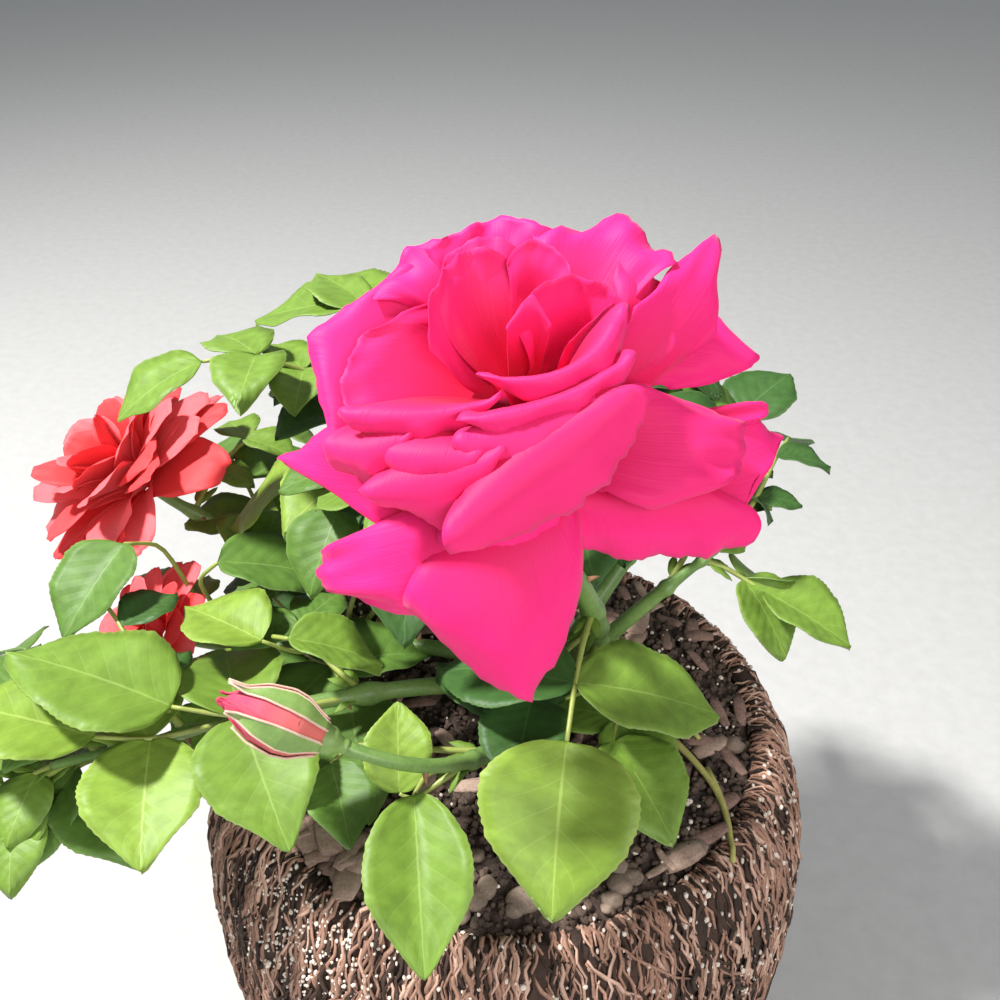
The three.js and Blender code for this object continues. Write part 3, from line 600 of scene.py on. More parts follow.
def strand(i):
    length = stray((i, 1), *STRAND_LENGTH)
    start = chance(i, 2) * SECTION_LENGTH - length / 2
    t = np.linspace(0, 1, STRAND_STEPS + 1)
    slant = (chance(i, 3) - 0.5) * (STRAND_SLANT + CROSSING_SLANT * (chance(i, 4) > CROSSING_FROM))
    sway = STRAND_SWAY * np.sin(t * length * SWAY_PACE + 6 * chance(i, 5)) + slant * length * (t - 0.5)
    distance = np.clip(start + length * t, 0, SECTION_LENGTH)
    radius = stray((i, 6), *STRAND_RADIUS)
    lift = stray((i, 7), *STRAND_LIFT) + STRAND_ARCH * np.sin(t * math.pi) - radius * STRAND_SINK
    path = on_wall(distance, 2 * math.pi * chance(i, 8) + sway / SWAY_RADIUS, lift)
    thick = STRAND_THIN + (1 - STRAND_THIN) * np.sin(math.pi * (STRAND_TAPER[0] + STRAND_TAPER[1] * t))
    return tube(path, radius * thick, STRAND_SIDES)


tints = {"dark": [], "mid": [], "pale": []}
for i in range(STRANDS):
    tints[STRAND_TINTS[int(len(STRAND_TINTS) * chance(i, 9))]].append(strand(i))
for tint, material in (("dark", FIBRE_DARK), ("mid", FIBRE_MID), ("pale", FIBRE_PALE)):
    make_piece(f"pot_strands_{tint}", tints[tint], material, ["fibre_pot"])

# %% [markdown]
# White grains, of perlite or grit, stick in the matted wall, and a patch of them below the bud. A particle
# system could scatter them, but the rule that lays the strands places them too. Each is a ball of few faces
# that is stretched by chance and left unsmoothed, so that it looks broken.

# %% Grains of the pot
WALL_GRAINS, PATCH_GRAINS, PATCH_GRAIN_SIZE = 3600, 380, 0.75
PATCH_BEARING, PATCH_SPREAD, PATCH_RISE = -128, 22, (0.74, 0.2)
GRAIN_SIZE, GRAIN_STRETCH = (0.45, 0.6), (0.7, 0.6)
WALL_GRAIN_LIFT, PATCH_GRAIN_LIFT = -0.5, -0.4
FIRST_WALL_GRAIN = 20000


def ball(level):
    return take(draw(bpy.ops.mesh.primitive_ico_sphere_add, subdivisions=level, radius=1))


GRAIN, PEBBLE = ball(1), ball(3)


def grain(place, size, seed):
    points, faces = GRAIN
    spots = points * [stray((seed, k), *GRAIN_STRETCH) for k in range(3)] * size
    return spots + place, faces


grains = []
for seed in range(FIRST_WALL_GRAIN, FIRST_WALL_GRAIN + WALL_GRAINS + PATCH_GRAINS):
    if seed < FIRST_WALL_GRAIN + WALL_GRAINS:
        place = on_wall(chance(seed, 1) * SECTION_LENGTH, 2 * math.pi * chance(seed, 2), WALL_GRAIN_LIFT)
        share = 1
    else:
        angle = math.radians(PATCH_BEARING + PATCH_SPREAD * (chance(seed, 1) + chance(seed, 3) - 1))
        place = on_wall(SECTION_LENGTH * stray((seed, 2), *PATCH_RISE), angle, PATCH_GRAIN_LIFT)
        share = PATCH_GRAIN_SIZE
    grains.append(grain(place, share * stray((seed, 4), *GRAIN_SIZE), seed))
make_piece("pot_grains", grains, GRAIN_WHITE, ["fibre_pot"], flat=True)

# %% [markdown]
# ## Potting soil
# The soil is a disc, domed as its solid is. Sculpting would give it lumps, but noise in a height rule does
# so as well, and the rule can also be asked for the ground under each crumb, pebble, bark chip and stalk
# that lies on it. Each sort of these is one joined mesh.

# %% Soil surface
CLEAR = 0.3
SOIL_EDGE, SOIL_TOP, SOIL_BACK = 202, 212, 14
SOIL_RIM = POT_OUTLINE[-1][0] - POT_WALL - CLEAR
CROWN_X, CROWN_Y, PAD_RADIUS = 18, -2, 32
SOIL_GAP = 0.4
SOIL_ROUGH, SOIL_SINK = 1.6, 0.7
SOIL_NOISES = ((0.55, 5, 0.6), (1.4, 6, 0.5))
SOIL_GRID = 150

SOIL = mottled("potting_soil", (0.085, 0.052, 0.038), (0.016, 0.010, 0.008), 0.97, 0.8, 0.001)
CRUMB = mottled("soil_crumb", (0.13, 0.085, 0.062), (0.035, 0.022, 0.016), 0.95)
PEBBLE_SKIN = mottled("pebble_skin", (0.28, 0.205, 0.15), (0.12, 0.085, 0.062), 0.8)
BARK_CHIP = mottled("bark_chip", (0.33, 0.20, 0.155), (0.12, 0.068, 0.052), 0.85)
BARK_PALE = mottled("bark_pale", (0.50, 0.36, 0.275), (0.24, 0.15, 0.11), 0.8)
DRY_STALK = mottled("dry_stalk", (0.46, 0.44, 0.13), (0.28, 0.24, 0.07), 0.6)


def soil_height(x, y):
    """The ground: domed, higher at the back, and flat round the crown."""
    out = np.minimum(np.hypot(x, y) / SOIL_RIM, 1)
    dome = SOIL_EDGE + (SOIL_TOP - SOIL_EDGE) * (1 - out ** 3)
    dome = dome + SOIL_BACK * np.maximum(y / SOIL_RIM, 0) * (1 - out ** 6)
    level = smooth(np.hypot(x - CROWN_X, y - CROWN_Y) / PAD_RADIUS - 1)
    return SOIL_TOP + (dome - SOIL_TOP) * level


def soil_piece(name, parts, material, flat=False):
    make_piece(name, parts, material, ["soil_mound"], flat=flat)


points, faces = flat_grid(SOIL_GRID, SOIL_GRID)
# A square grid is pressed into a disc, so that its faces stay much the same size from middle to rim.
x, y = points[:, 0], points[:, 1]
x, y = x * np.sqrt(1 - y * y / 2), y * np.sqrt(1 - x * x / 2)
points = np.stack([x, y, np.zeros(len(x))], axis=1) * (SOIL_RIM - SOIL_GAP)
bumps = sum(lattice(points, scale, seed) * share for scale, seed, share in SOIL_NOISES)
points[:, 2] = soil_height(points[:, 0], points[:, 1]) + SOIL_ROUGH * (bumps - SOIL_SINK)
soil_piece("soil_surface", [(points, faces)], SOIL)

# %% [markdown]
# Potting soil is crumbs of peat with pebbles and flakes of bark in it. Crumbs could be left to a bump in
# the finish, but they catch the light only as real lumps. They are the same cheap ball as the grains, and a
# pebble is a finer ball that noise makes uneven. Most pebbles lie in a heap at the front.

# %% Crumbs and pebbles
CRUMBS, FIRST_CRUMB, CRUMB_SIZE, CRUMB_LIFT = 5200, 1000, (0.5, 1.1), 0.2
PEBBLES, FIRST_PEBBLE, PEBBLE_SIZE, PEBBLE_LIFT = 34, 7000, (1.6, 3.4), 0.8
PEBBLE_SPREAD, PEBBLE_FLAT, PEBBLE_ROUGH, PEBBLE_NOISE = (0.8, 0.5), 0.72, 0.13, 2.4
HEAP_PEBBLES, PEBBLE_HEAP = 20, dict(bearing=(-104, 44), reach=(72, 26))
RIM_MARGIN = 3


def soil_place(radius, angle):
    x, y = radius * math.cos(angle), radius * math.sin(angle)
    return np.array([x, y, float(soil_height(x, y))])


def on_soil(seed, least=0.0, most=1.0):
    """A place on the soil, between two shares of its area counted from the middle."""
    radius = (SOIL_RIM - RIM_MARGIN) * math.sqrt(stray((seed, 11), least, most - least))
    return soil_place(radius, 2 * math.pi * chance(seed, 12))


def in_heap(i, key, bearing, reach):
    """A place in a heap, which lies at a range of bearings and of distances from the pot's middle."""
    return soil_place(stray((i, key + 1), *reach), math.radians(stray((i, key), *bearing)))


def pebble(place, size, seed):
    points, faces = PEBBLE
    rough = 1 + PEBBLE_ROUGH * lattice(points + seed, PEBBLE_NOISE, 8)
    spread = [stray((seed, k), *PEBBLE_SPREAD) for k in (1, 2)] + [PEBBLE_FLAT]
    return points * rough[:, None] * spread * size + place, faces


crumbs = []
for i in range(CRUMBS):
    size = stray((i, 21), *CRUMB_SIZE) * (1 + chance(i, 22) ** 6)
    crumbs.append(grain(on_soil(i + FIRST_CRUMB) + UP * CRUMB_LIFT, size, i + FIRST_CRUMB))
soil_piece("soil_crumbs", crumbs, CRUMB, flat=True)

pebbles = []
for i in range(PEBBLES):
    place = in_heap(i, 31, **PEBBLE_HEAP) if i < HEAP_PEBBLES else on_soil(i + FIRST_PEBBLE, 0.2, 0.96)
    pebbles.append(pebble(place + UP * PEBBLE_LIFT, stray((i, 33), *PEBBLE_SIZE), i))
soil_piece("soil_pebbles", pebbles, PEBBLE_SKIN)

# %% [markdown]
# A bark chip is torn along its fibres, so it is long and flat, with ragged ends. A box would be too neat,
# so each is a tube that is pressed flat. Its width ripples along it, and it lies tilted on the crumbs. A few
# pale chips lie in a heap at the left.

# %% Bark chips
CHIPS, FIRST_CHIP, CHIP_LENGTH, PALE_FROM = 210, 9000, (8, 13), 0.66
CHIP_TILT, CHIP_LIFT, CHIP_WAVE, CHIP_HALF, CHIP_FLAT = 26, 1.2, 0.5, (0.12, 0.14), 0.32
CHIP_RINGS, CHIP_SIDES = 6, 7
HEAP_CHIPS, FIRST_HEAP_CHIP, HEAP_CHIP_LENGTH, HEAP_LIFT = 12, 9500, (12, 12), 2
CHIP_HEAP = dict(bearing=(-140, 16), reach=(88, 11))
BARE_FRONT, BARE_HALF = -45, 50


def chip(place, length, seed):
    """A flake of bark: a flattened tube with ragged ends."""
    way = heading(360 * chance(seed, 1), CHIP_TILT * (chance(seed, 2) - 0.4))
    t = np.linspace(-0.5, 0.5, CHIP_RINGS)
    rise = CHIP_LIFT + CHIP_WAVE * np.sin(5 * t + 9 * chance(seed, 3))
    path = place + way * (t * length)[:, None] + UP * rise[:, None]
    half = length * stray((seed, 4), *CHIP_HALF) * (1 - 1.5 * t ** 2) * (1 + 0.25 * np.sin(31 * t + seed))
    points, faces = tube(path, half, CHIP_SIDES)
    middle = path.repeat(CHIP_SIDES, axis=0)
    low, across = points - middle, unit(np.cross(way, UP))
    points = middle + across * (low @ across)[:, None] + UP * (CHIP_FLAT * low[:, 2])[:, None]
    return points, faces


chips, pale_chips = [], []
for i in range(CHIPS):
    place = on_soil(i + FIRST_CHIP, 0.08, 0.97)
    if place[1] < BARE_FRONT and abs(place[0]) < BARE_HALF:
        continue
    target = pale_chips if chance(i, 41) > PALE_FROM else chips
    target.append(chip(place, stray((i, 42), *CHIP_LENGTH), i + FIRST_CHIP))
for i in range(HEAP_CHIPS):
    place = in_heap(i, 43, **CHIP_HEAP) + UP * HEAP_LIFT
    pale_chips.append(chip(place, stray((i, 45), *HEAP_CHIP_LENGTH), i + FIRST_HEAP_CHIP))
soil_piece("bark_chips", chips, BARK_CHIP)
soil_piece("pale_bark_chips", pale_chips, BARK_PALE)

# %% [markdown]
# Three yellowed stalks have fallen on the right and hang over the lip. A simulation could drop them there,
# but they are short, so each is a tube laid on the ground by the height rule, and on the lip beyond it. Small
# white grains lie all over the soil.

# %% Fallen stalks and white grains
STALKS = [((66, -22), -62, 34), ((78, -34), -86, 40), ((60, -6), -40, 22)]
STALK_LIFT, STALK_OVER_LIP, STALK_CURVE, STALK_RADII = 3, 1.5, 3, (1.5, 1.0)
SOIL_GRAINS, FIRST_SOIL_GRAIN, SOIL_GRAIN_SIZE, SOIL_GRAIN_LIFT = 420, 12000, (0.5, 0.6), 0.7

stalks = []
for (x, y), turn, length in STALKS:
    t = np.linspace(0, 1, 9)
    path = np.array([x, y, 0]) + heading(turn, 0) * (t * length)[:, None]
    rim = np.hypot(path[:, 0], path[:, 1])
    over_lip = POT_LIP[0][1] + STALK_OVER_LIP - 0.2 * np.maximum(rim - SOIL_RIM, 0) ** 1.3
    path[:, 2] = np.where(rim < SOIL_RIM, soil_height(path[:, 0], path[:, 1]) + STALK_LIFT, over_lip)
    path[:, 0] += STALK_CURVE * np.sin(t * 3)
    stalks.append(tube(path, np.interp(t, [0, 1], STALK_RADII), 8))
soil_piece("fallen_stalks", stalks, DRY_STALK)
white = []
for i in range(SOIL_GRAINS):
    place = on_soil(i + FIRST_SOIL_GRAIN) + UP * SOIL_GRAIN_LIFT
    white.append(grain(place, stray((i, 51), *SOIL_GRAIN_SIZE), i + FIRST_SOIL_GRAIN))
soil_piece("soil_grains", white, GRAIN_WHITE, flat=True)

# %% [markdown]
# ## The growth rule
# Ten canes leave one crown. Each is a smooth curve with a heading at its foot and at its tip, which is what
# an eye can read from a real bush. Leaves could be strewn over a crown shape, but a real leaf sits on its
# cane: those with a marked place come first, then seeded ones that turn by the golden angle up each cane.

# %% Canes
CROWN = np.array([CROWN_X, CROWN_Y, SOIL_TOP + CLEAR])
FORK_HEIGHT, CANE_START, CANE_EASE, CANE_STEPS = 8, 3, 0.36, 18


def new_cane(tip, start, end, bare, radii, leaves):
    """A cane's tip (bearing, reach, rise), its headings at foot and tip (bearing, pitch) and its leaves."""
    return dict(tip=tip, start=start, end=end, bare=bare, radii=radii, leaves=leaves)


CANES = {
    "front": new_cane((-101, 65, 151), (-10, 45), (-82, 61), bare=0.36, radii=(4.6, 3.1), leaves=1),
    "bud": new_cane((-132, 104, 54), (-108, 14), (172, 26), bare=0.42, radii=(3.2, 2.2), leaves=0),
    "right": new_cane((4, 72, 78), (0, 52), (14, 32), bare=0.5, radii=(3.6, 2.2), leaves=3),
    "left_front": new_cane((-164, 188, 14), (-152, 34), (-172, -12), bare=0.24, radii=(3.8, 2), leaves=5),
    "lower_left": new_cane((171, 160, 6), (172, 40), (214, 46), bare=0.34, radii=(3.6, 2.2), leaves=4),
    "upper_left": new_cane((155, 193, 43), (150, 50), (206, 56), bare=0.34, radii=(4, 2.4), leaves=6),
    "back_left": new_cane((138, 118, 104), (128, 52), (142, 44), bare=0.36, radii=(4.2, 2.2), leaves=5),
    "back": new_cane((96, 78, 128), (86, 62), (96, 66), bare=0.36, radii=(4.2, 2.2), leaves=7),
    "back_right": new_cane((42, 84, 76), (44, 56), (40, 40), bare=0.4, radii=(4, 2.2), leaves=6),
    "front_right": new_cane((-36, 58, 34), (-40, 50), (-30, 12), bare=0.4, radii=(3.2, 2), leaves=1),
}


def cane_line(cane):
    """The curve of a cane, from the crown to its tip."""
    bearing, reach, rise = cane["tip"]
    fork = CROWN + UP * FORK_HEIGHT
    leaves, arrives = heading(*cane["start"]), heading(*cane["end"])
    tip = fork + heading(bearing, 0) * reach + UP * rise
    return bezier(fork + leaves * CANE_START, leaves, tip, arrives, CANE_EASE, CANE_STEPS)


for number, (name, cane) in enumerate(CANES.items()):
    cane.update(name=name, number=number, line=cane_line(cane))
print("canes", {name: [round(x) for x in cane["line"][-1]] for name, cane in CANES.items()})

# %% [markdown]
# The leaves that the eye meets first have a place of their own. Each row gives the cane and the share
# along it; the bearing, distance and height of the end leaflet's foot from the crown; its heading, pitch
# and length; the pairs of side leaflets, and the angle that they spread by. Angles are in degrees.

# %% Leaves with a marked place
PLACED = [
    ("front", 0.4, -89, 74, 60, -100, -25, 56, 1, 100),
    ("front", 0.32, -101, 48, 51, -101, 1, 35, 0, 60),
    ("front_right", 0.8, -72, 61, 42, -64, -2, 38, 1, 70),
    ("right", 0.8, -2, 79, 62, -37, -7, 36, 1, 45),
    ("bud", 0.5, -122, 91, 38, -84, -16, 56, 0, 60),
    ("bud", 0.45, -145, 97, 28, -70, -3, 33, 0, 60),
    ("bud", 0.55, -128, 88, 29, 95, 51, 30, 0, 30),
    ("left_front", 0.4, -160, 142, 49, 168, 22, 60, 1, 92),
    ("left_front", 0.62, -161, 169, 41, 174, 18, 53, 1, 75),
    ("left_front", 0.85, -164, 182, 13, -40, -4, 42, 1, 60),
    ("left_front", 0.95, -162, 202, 12, -78, -10, 29, 1, 70),
    ("lower_left", 0.45, -164, 99, 61, 3, -13, 35, 0, 60),
    ("lower_left", 0.5, -170, 109, 52, 150, 5, 40, 0, 60),
    ("lower_left", 0.75, 172, 132, 59, 10, -8, 46, 0, 60),
    ("upper_left", 0.72, 165, 139, 52, 98, 29, 40, 1, 40),
    ("upper_left", 0.75, 151, 152, 74, 77, 24, 31, 0, 60),
    ("back_left", 0.75, 136, 129, 99, 164, -2, 60, 1, 60),
    ("back_left", 0.92, 124, 134, 128, 172, -6, 55, 1, 60),
    ("lower_left", 0.85, 178, 140, 62, 109, 37, 48, 0, 60),
    ("lower_left", 0.8, 174, 166, 69, -114, -16, 41, 0, 120),
]

print("placed leaves", len(PLACED))

# %% [markdown]
# A rose leaf is compound: an end leaflet and pairs of side ones on one stalk. It is first only a plan, with
# a foot, a heading and a length for each leaflet, because a plan is quick to try in many places. A seeded
# leaf turns by the golden angle from the one below it, as real leaves do to keep out of each other's shade.

# %% Plans of leaves
GOLDEN = 137.5
STALK_STEPS, STALK_RISE, STALK_REACH = 3, 0.5, 52
PAIR_AT, PAIR_SIZE, PAIR_DROOP = (0.66, 0.34), (0.9, 0.74), 0.08
SPREAD, LEAFLET, LEAFLET_WIDTH, LEAFLET_SAG = 70, 46, 0.78, 0.14
SEED_STRETCH, SEED_TURN, SEED_REACH = (0.06, 0.92), 40, 0.3
SEED_RISE, SEED_SWING, SEED_DROOP = (26, 22), 50, (6, 30)
SEED_SIZE, TIP_SMALLER, SEED_PAIRS = (0.82, 0.3), 0.25, 2
TRIES = 9


def compound_leaf(cane, share, foot, ahead, size, pairs, spread):
    start, stem = along(cane["line"], share)
    stalk = bezier(start, unit(unit(foot - start) + stem * STALK_RISE), foot, ahead, CANE_EASE, STALK_STEPS)
    leaflets = []

    def add(at, way, length):
        side = unit(np.cross(way, UP))
        leaflets.append(dict(foot=at, ahead=way, up=np.cross(side, way), length=length))

    add(foot, ahead, size)
    for pair in range(pairs):
        at, way = along(stalk, PAIR_AT[pair])
        flat = unit(np.cross(way, UP))
        for sign in (1, -1):
            turn = math.radians(spread)
            out = unit(way * math.cos(turn) + flat * sign * math.sin(turn) - UP * PAIR_DROOP)
            add(at, out, size * PAIR_SIZE[pair])
    return dict(cane=cane, share=share, stalk=stalk, leaflets=leaflets)


def placed_leaf(name, share, bearing, distance, height, toward, pitch, size, pairs, spread):
    foot = CROWN + heading(bearing, 0) * distance + UP * height
    return compound_leaf(CANES[name], share, foot, heading(toward, pitch), size, pairs, spread)


def seeded_leaf(cane, index, attempt, count, series=0):
    seed = cane["number"] + attempt / TRIES + series
    share = cane["bare"] + SEED_STRETCH[0] + (SEED_STRETCH[1] - cane["bare"]) * ((index + 0.5) / count)
    bearing = GOLDEN * (index + attempt) + stray((seed, index, 1), 0, SEED_TURN)
    start, _ = along(cane["line"], share)
    out = heading(bearing, SEED_RISE[0] - stray((seed, index, 3), 0, SEED_RISE[1]))
    foot = start + out * STALK_REACH * stray((seed, index, 2), 1, SEED_REACH)
    swing = stray((seed, index, 4), -SEED_SWING / 2, SEED_SWING)
    ahead = heading(bearing + swing, -stray((seed, index, 5), *SEED_DROOP))
    size = LEAFLET * stray((seed, index, 6), *SEED_SIZE) * (1 - TIP_SMALLER * share ** 4)
    return compound_leaf(cane, share, foot, ahead, size, SEED_PAIRS, SPREAD)


example = placed_leaf(*PLACED[0])
print("first leaf's lengths", [round(one["length"]) for one in example["leaflets"]])

# %% [markdown]
# A leaflet is kept only where it has room. It is tried as thirty points on its blade, which must be clear of
# the soil, the pot, the canes, the room that each bloom takes up, and the leaflets that are there already.
# Comparing meshes would be exact, but far slower. Blades here are thinner than the solids', so the leaves
# with a marked place may stand a little closer together.

# %% Room for a leaflet
TEST_SHARES, TEST_SIDES, TEST_WIDTH = (0.06, 0.24, 0.42, 0.6, 0.78, 1), (-1, -0.5, 0, 0.5, 1), 0.45
OVER_SOIL, RIM_ROOM, POT_REACH, RIGHT_REACH = 5, 8, 136, 130
BLOOM_ROOMS = {"front": (74, 44, 22), "upper_left": (54, 38, 18), "lower_left": (32, 28, 12),
               "bud": (20, 32, 20)}

for name in BLOOM_ROOMS:
    tip, axis = along(CANES[name]["line"], 1)
    CANES[name].update(bloom_at=tip + axis * CLEAR, axis=axis)


def leaflet_spots(leaflet):
    """Points on a leaflet's blade."""
    side = np.cross(leaflet["ahead"], leaflet["up"])
    spots = []
    for s in TEST_SHARES:
        reach = leaflet["length"] * LEAFLET_WIDTH * TEST_WIDTH * math.sqrt(max(math.sin(math.pi * s), 0))
        middle = leaflet["foot"] + leaflet["ahead"] * s * leaflet["length"]
        middle = middle - leaflet["up"] * LEAFLET_SAG * leaflet["length"] * s * s
        spots += [middle + side * t * reach for t in TEST_SIDES]
    return np.array(spots)


def in_the_open(spots):
    """Whether points are clear of the ground, the pot and the blooms."""
    if (spots[:, 0] > RIGHT_REACH).any():
        return False
    out = np.hypot(spots[:, 0], spots[:, 1])
    ground = np.where(out < SOIL_RIM, soil_height(spots[:, 0], spots[:, 1]), SOIL_EDGE + RIM_ROOM)
    if ((out < POT_REACH) & (spots[:, 2] < ground + OVER_SOIL)).any():
        return False
    for name, (girth, depth, middle) in BLOOM_ROOMS.items():
        cane = CANES[name]
        away = spots - (cane["bloom_at"] + cane["axis"] * middle)
        rise = away @ cane["axis"]
        spread = np.sqrt(np.maximum((away ** 2).sum(axis=1) - rise ** 2, 0))
        if (np.hypot(spread / girth, rise / depth) <= 1).any():
            return False
    return True


print("room for blooms", {name: [round(x) for x in CANES[name]["bloom_at"]] for name in BLOOM_ROOMS})

# %% [markdown]
# Leaves of one cane may stand closer together than those of two canes, which the wind would rub together.
# The corner at the front right is kept bare, because the photograph shows soil there.

# %% Room between leaves
GAP_OWN, GAP_OTHER, GAP_CANE, GAP_STALK = 6.5, 8, 9, 5
BARE_CORNER, FRONT_REACH = (50, -20), -80


def far_from(spots, others, gap):
    return ((spots[:, None, :] - others[None, :, :]) ** 2).sum(axis=2).min() > gap * gap


def off_canes(leaf, spots):
    return all(cane is leaf["cane"] or far_from(spots, cane["line"], GAP_CANE) for cane in CANES.values())


def is_free(leaf, leaflet, kept, room):
    spots = leaflet["spots"] = leaflet_spots(leaflet)
    if not (in_the_open(spots) and off_canes(leaf, spots)):
        return False
    for other in kept:
        own = other["cane"] is leaf["cane"]
        if not far_from(spots, other["spots"], room * (GAP_OWN if own else GAP_OTHER)):
            return False
        if not own and not far_from(spots, other["stalk"], GAP_STALK * room):
            return False
    return True


def is_outside(leaf):
    """Whether a leaf reaches where the photograph shows bare soil, or too far to the front."""
    spots = np.concatenate([leaflet_spots(leaflet) for leaflet in leaf["leaflets"]])
    corner = (spots[:, 0] > BARE_CORNER[0]) & (spots[:, 1] < BARE_CORNER[1])
    return (corner | (spots[:, 1] < FRONT_REACH)).any()


print("first leaf is in the open", bool(in_the_open(leaflet_spots(example["leaflets"][0]))))

# %% [markdown]
# Now the leaves grow one after the other, and each takes room from those after it. A leaf loses the
# leaflets that have no room. A seeded leaf that would lose too many is tried again, turned further round
# its cane. Growing them in turn, one to each cane, shares the room out fairly.

# %% Growing the leaves
FEWEST, PLACED_ROOM = 3, 0.4


def consider(leaf, kept, seeded, room):
    """Keeps a leaf, or what has room of it, and tells whether it did."""
    if seeded and is_outside(leaf):
        return False
    if seeded:
        others = [other for other in kept if other["cane"] is not leaf["cane"]]
        if not off_canes(leaf, leaf["stalk"][1:]):
            return False
        if not all(far_from(leaf["stalk"], other["spots"], GAP_STALK) for other in others):
            return False
    if not is_free(leaf, leaf["leaflets"][0], kept, room):
        return False
    leaf["leaflets"] = [leaflet for leaflet in leaf["leaflets"] if is_free(leaf, leaflet, kept, room)]
    if seeded and len(leaf["leaflets"]) < FEWEST:
        return False
    leaf["spots"] = np.concatenate([leaflet["spots"] for leaflet in leaf["leaflets"]])
    kept.append(leaf)
    return True


def grow():
    kept = []
    for row in PLACED:
        if not consider(placed_leaf(*row), kept, False, PLACED_ROOM):
            print("no room for", row[:2])
    for index in range(max(cane["leaves"] for cane in CANES.values())):
        for cane in CANES.values():
            for attempt in range(TRIES if index < cane["leaves"] else 0):
                if consider(seeded_leaf(cane, index, attempt, cane["leaves"]), kept, True, 1):
                    break
    return kept


leaves = grow()
print("main leaves", len(leaves))

# %% [markdown]
# Smaller leaves then fill in between the main ones that the solids carry: a few with a place, one at the
# tip of each cane that ends without a bloom, and more by the same rule. More main leaves would fill the
# crown too, but real ones leave just such gaps, which only young leaves fit.

# %% Filling in
FILLERS = [
    ("front", 0.25, -86, 42, 46, 153, 4, 52, 0, 60),
    ("bud", 0.3, -112, 34, 40, -104, -25, 36, 0, 60),
    ("bud", 0.35, -160, 33, 38, -147, -6, 41, 0, 60),
    ("bud", 0.4, -179, 101, 58, -45, -17, 52, 0, 60),
    ("lower_left", 0.5, -164, 110, 50, 132, 13, 50, 0, 60),
    ("lower_left", 0.5, 159, 87, 50, 146, 31, 35, 0, 60),
    ("upper_left", 0.6, 168, 129, 58, 116, 25, 42, 0, 60),
    ("front", 0.3, 11, 35, 50, -61, 13, 37, 0, 60),
]
LEAFY_TIPS, TIP_SHARE, TIP_REACH, TIP_DROOP, TIP_LENGTH = (
    ("left_front", "back_left", "back_right"), 0.99, 20, 0.25, 36)
FILLER_ROOM, FILLER_SIZE, FILLERS_PER_CANE, FILLER_SERIES = 0.3, 0.72, 5, 50


def fill_in(kept):
    for row in FILLERS:
        consider(placed_leaf(*row), kept, False, FILLER_ROOM)
    for cane in CANES.values():
        tip, ahead = along(cane["line"], 1)
        if cane["name"] in LEAFY_TIPS:
            way = unit(ahead - UP * TIP_DROOP)
            leaf = compound_leaf(cane, TIP_SHARE, tip + way * TIP_REACH, way, TIP_LENGTH, SEED_PAIRS, SPREAD)
            consider(leaf, kept, False, FILLER_ROOM)
    for index in range(FILLERS_PER_CANE):
        for cane in CANES.values():
            if cane["leaves"] < 2:
                continue
            for attempt in range(TRIES):
                leaf = seeded_leaf(cane, index + 0.5, attempt, FILLERS_PER_CANE + 1, FILLER_SERIES)
                for one in leaf["leaflets"]:
                    one["length"] *= FILLER_SIZE
                if consider(leaf, kept, True, FILLER_ROOM * 2):
                    break
    return kept


leaves = fill_in(leaves)
print("leaves", len(leaves), "leaflets", sum(len(leaf["leaflets"]) for leaf in leaves))

# %% [markdown]
# ## Leaflets
# A rose leaflet is an oval with a short point and a toothed edge. It folds a little along its middle
# rib, sags to its tip and waves at its edge. A picture of a leaf on a card is the light way to make one, but
# from close by it looks like paper. So one grid is drawn and thickened, and each copy is bent in its own
# way. The underside is paler than the top, so the map holds one half for each.

# %% Blade grids
MAP_WIDE, MAP_MARGIN = 0.245, (0.005, 0.01)


def blade_grid(across, along):
    """A closed blade of two layers: u from -1 to 1 across it, v from foot to tip, its faces and its map."""
    points, faces = flat_grid(across, along)
    count = len(points)
    under = [tuple(i + count for i in reversed(face)) for face in faces]
    edges = {(a, b) for face in faces for a, b in zip(face, face[1:] + face[:1])}
    rim = [(b, a, a + count, b + count) for a, b in sorted(edges) if (b, a) not in edges]
    u, v = points[:, 0], (points[:, 1] + 1) / 2
    left, low = MAP_MARGIN
    spots = [np.stack([x + MAP_WIDE * (u + 1), low + (1 - 2 * low) * v], axis=1) for x in (left, 0.5 + left)]
    return dict(u=u, v=v, faces=list(faces) + under + rim, map=np.concatenate(spots), teeth=along / 2)


NEAR_GRID, FAR_GRID, WING_GRID = blade_grid(8, 44), blade_grid(4, 22), blade_grid(2, 9)
print("faces of a leaflet", len(NEAR_GRID["faces"]), "near and", len(FAR_GRID["faces"]), "far")

# %% [markdown]
# The outline is widest below its middle. Teeth point forward, and the blade swells between its ribs. The
# bending is arithmetic on the grid's two numbers, across and along, so that each leaflet costs one line.

# %% Leaflet shape
LEAF_THICK, LEAF_WIDER = 0.35, 1.07
TOOTH_DEPTH, TOOTH_LEAN, EDGE = 0.038, 0.006, 0.99
LEAF_FOLD, LEAF_CURL, LEAF_SAGS, LEAF_TWIST = (0.10, 0.34), (0.02, 0.16), (0.5, 1.3), 22
LEAF_UNEVEN, LEAF_LEAN, LEAF_WAVE, WAVE_PACE = 0.05, 0.09, 0.018, 2.2
RIBS, RIB_HEIGHT, RIB_LEAN = 7, 0.003, 0.42


def leaf_outline(v, broad):
    """Half width at each share of the length, from a round foot to a short point."""
    body = np.sin(math.pi * np.clip(v, 0, 1) ** (0.74 + 0.2 * broad)) ** 0.62
    return body * (1 - 0.34 * smooth((v - 0.66) / 0.34)) + 0.02 * (1 - v)


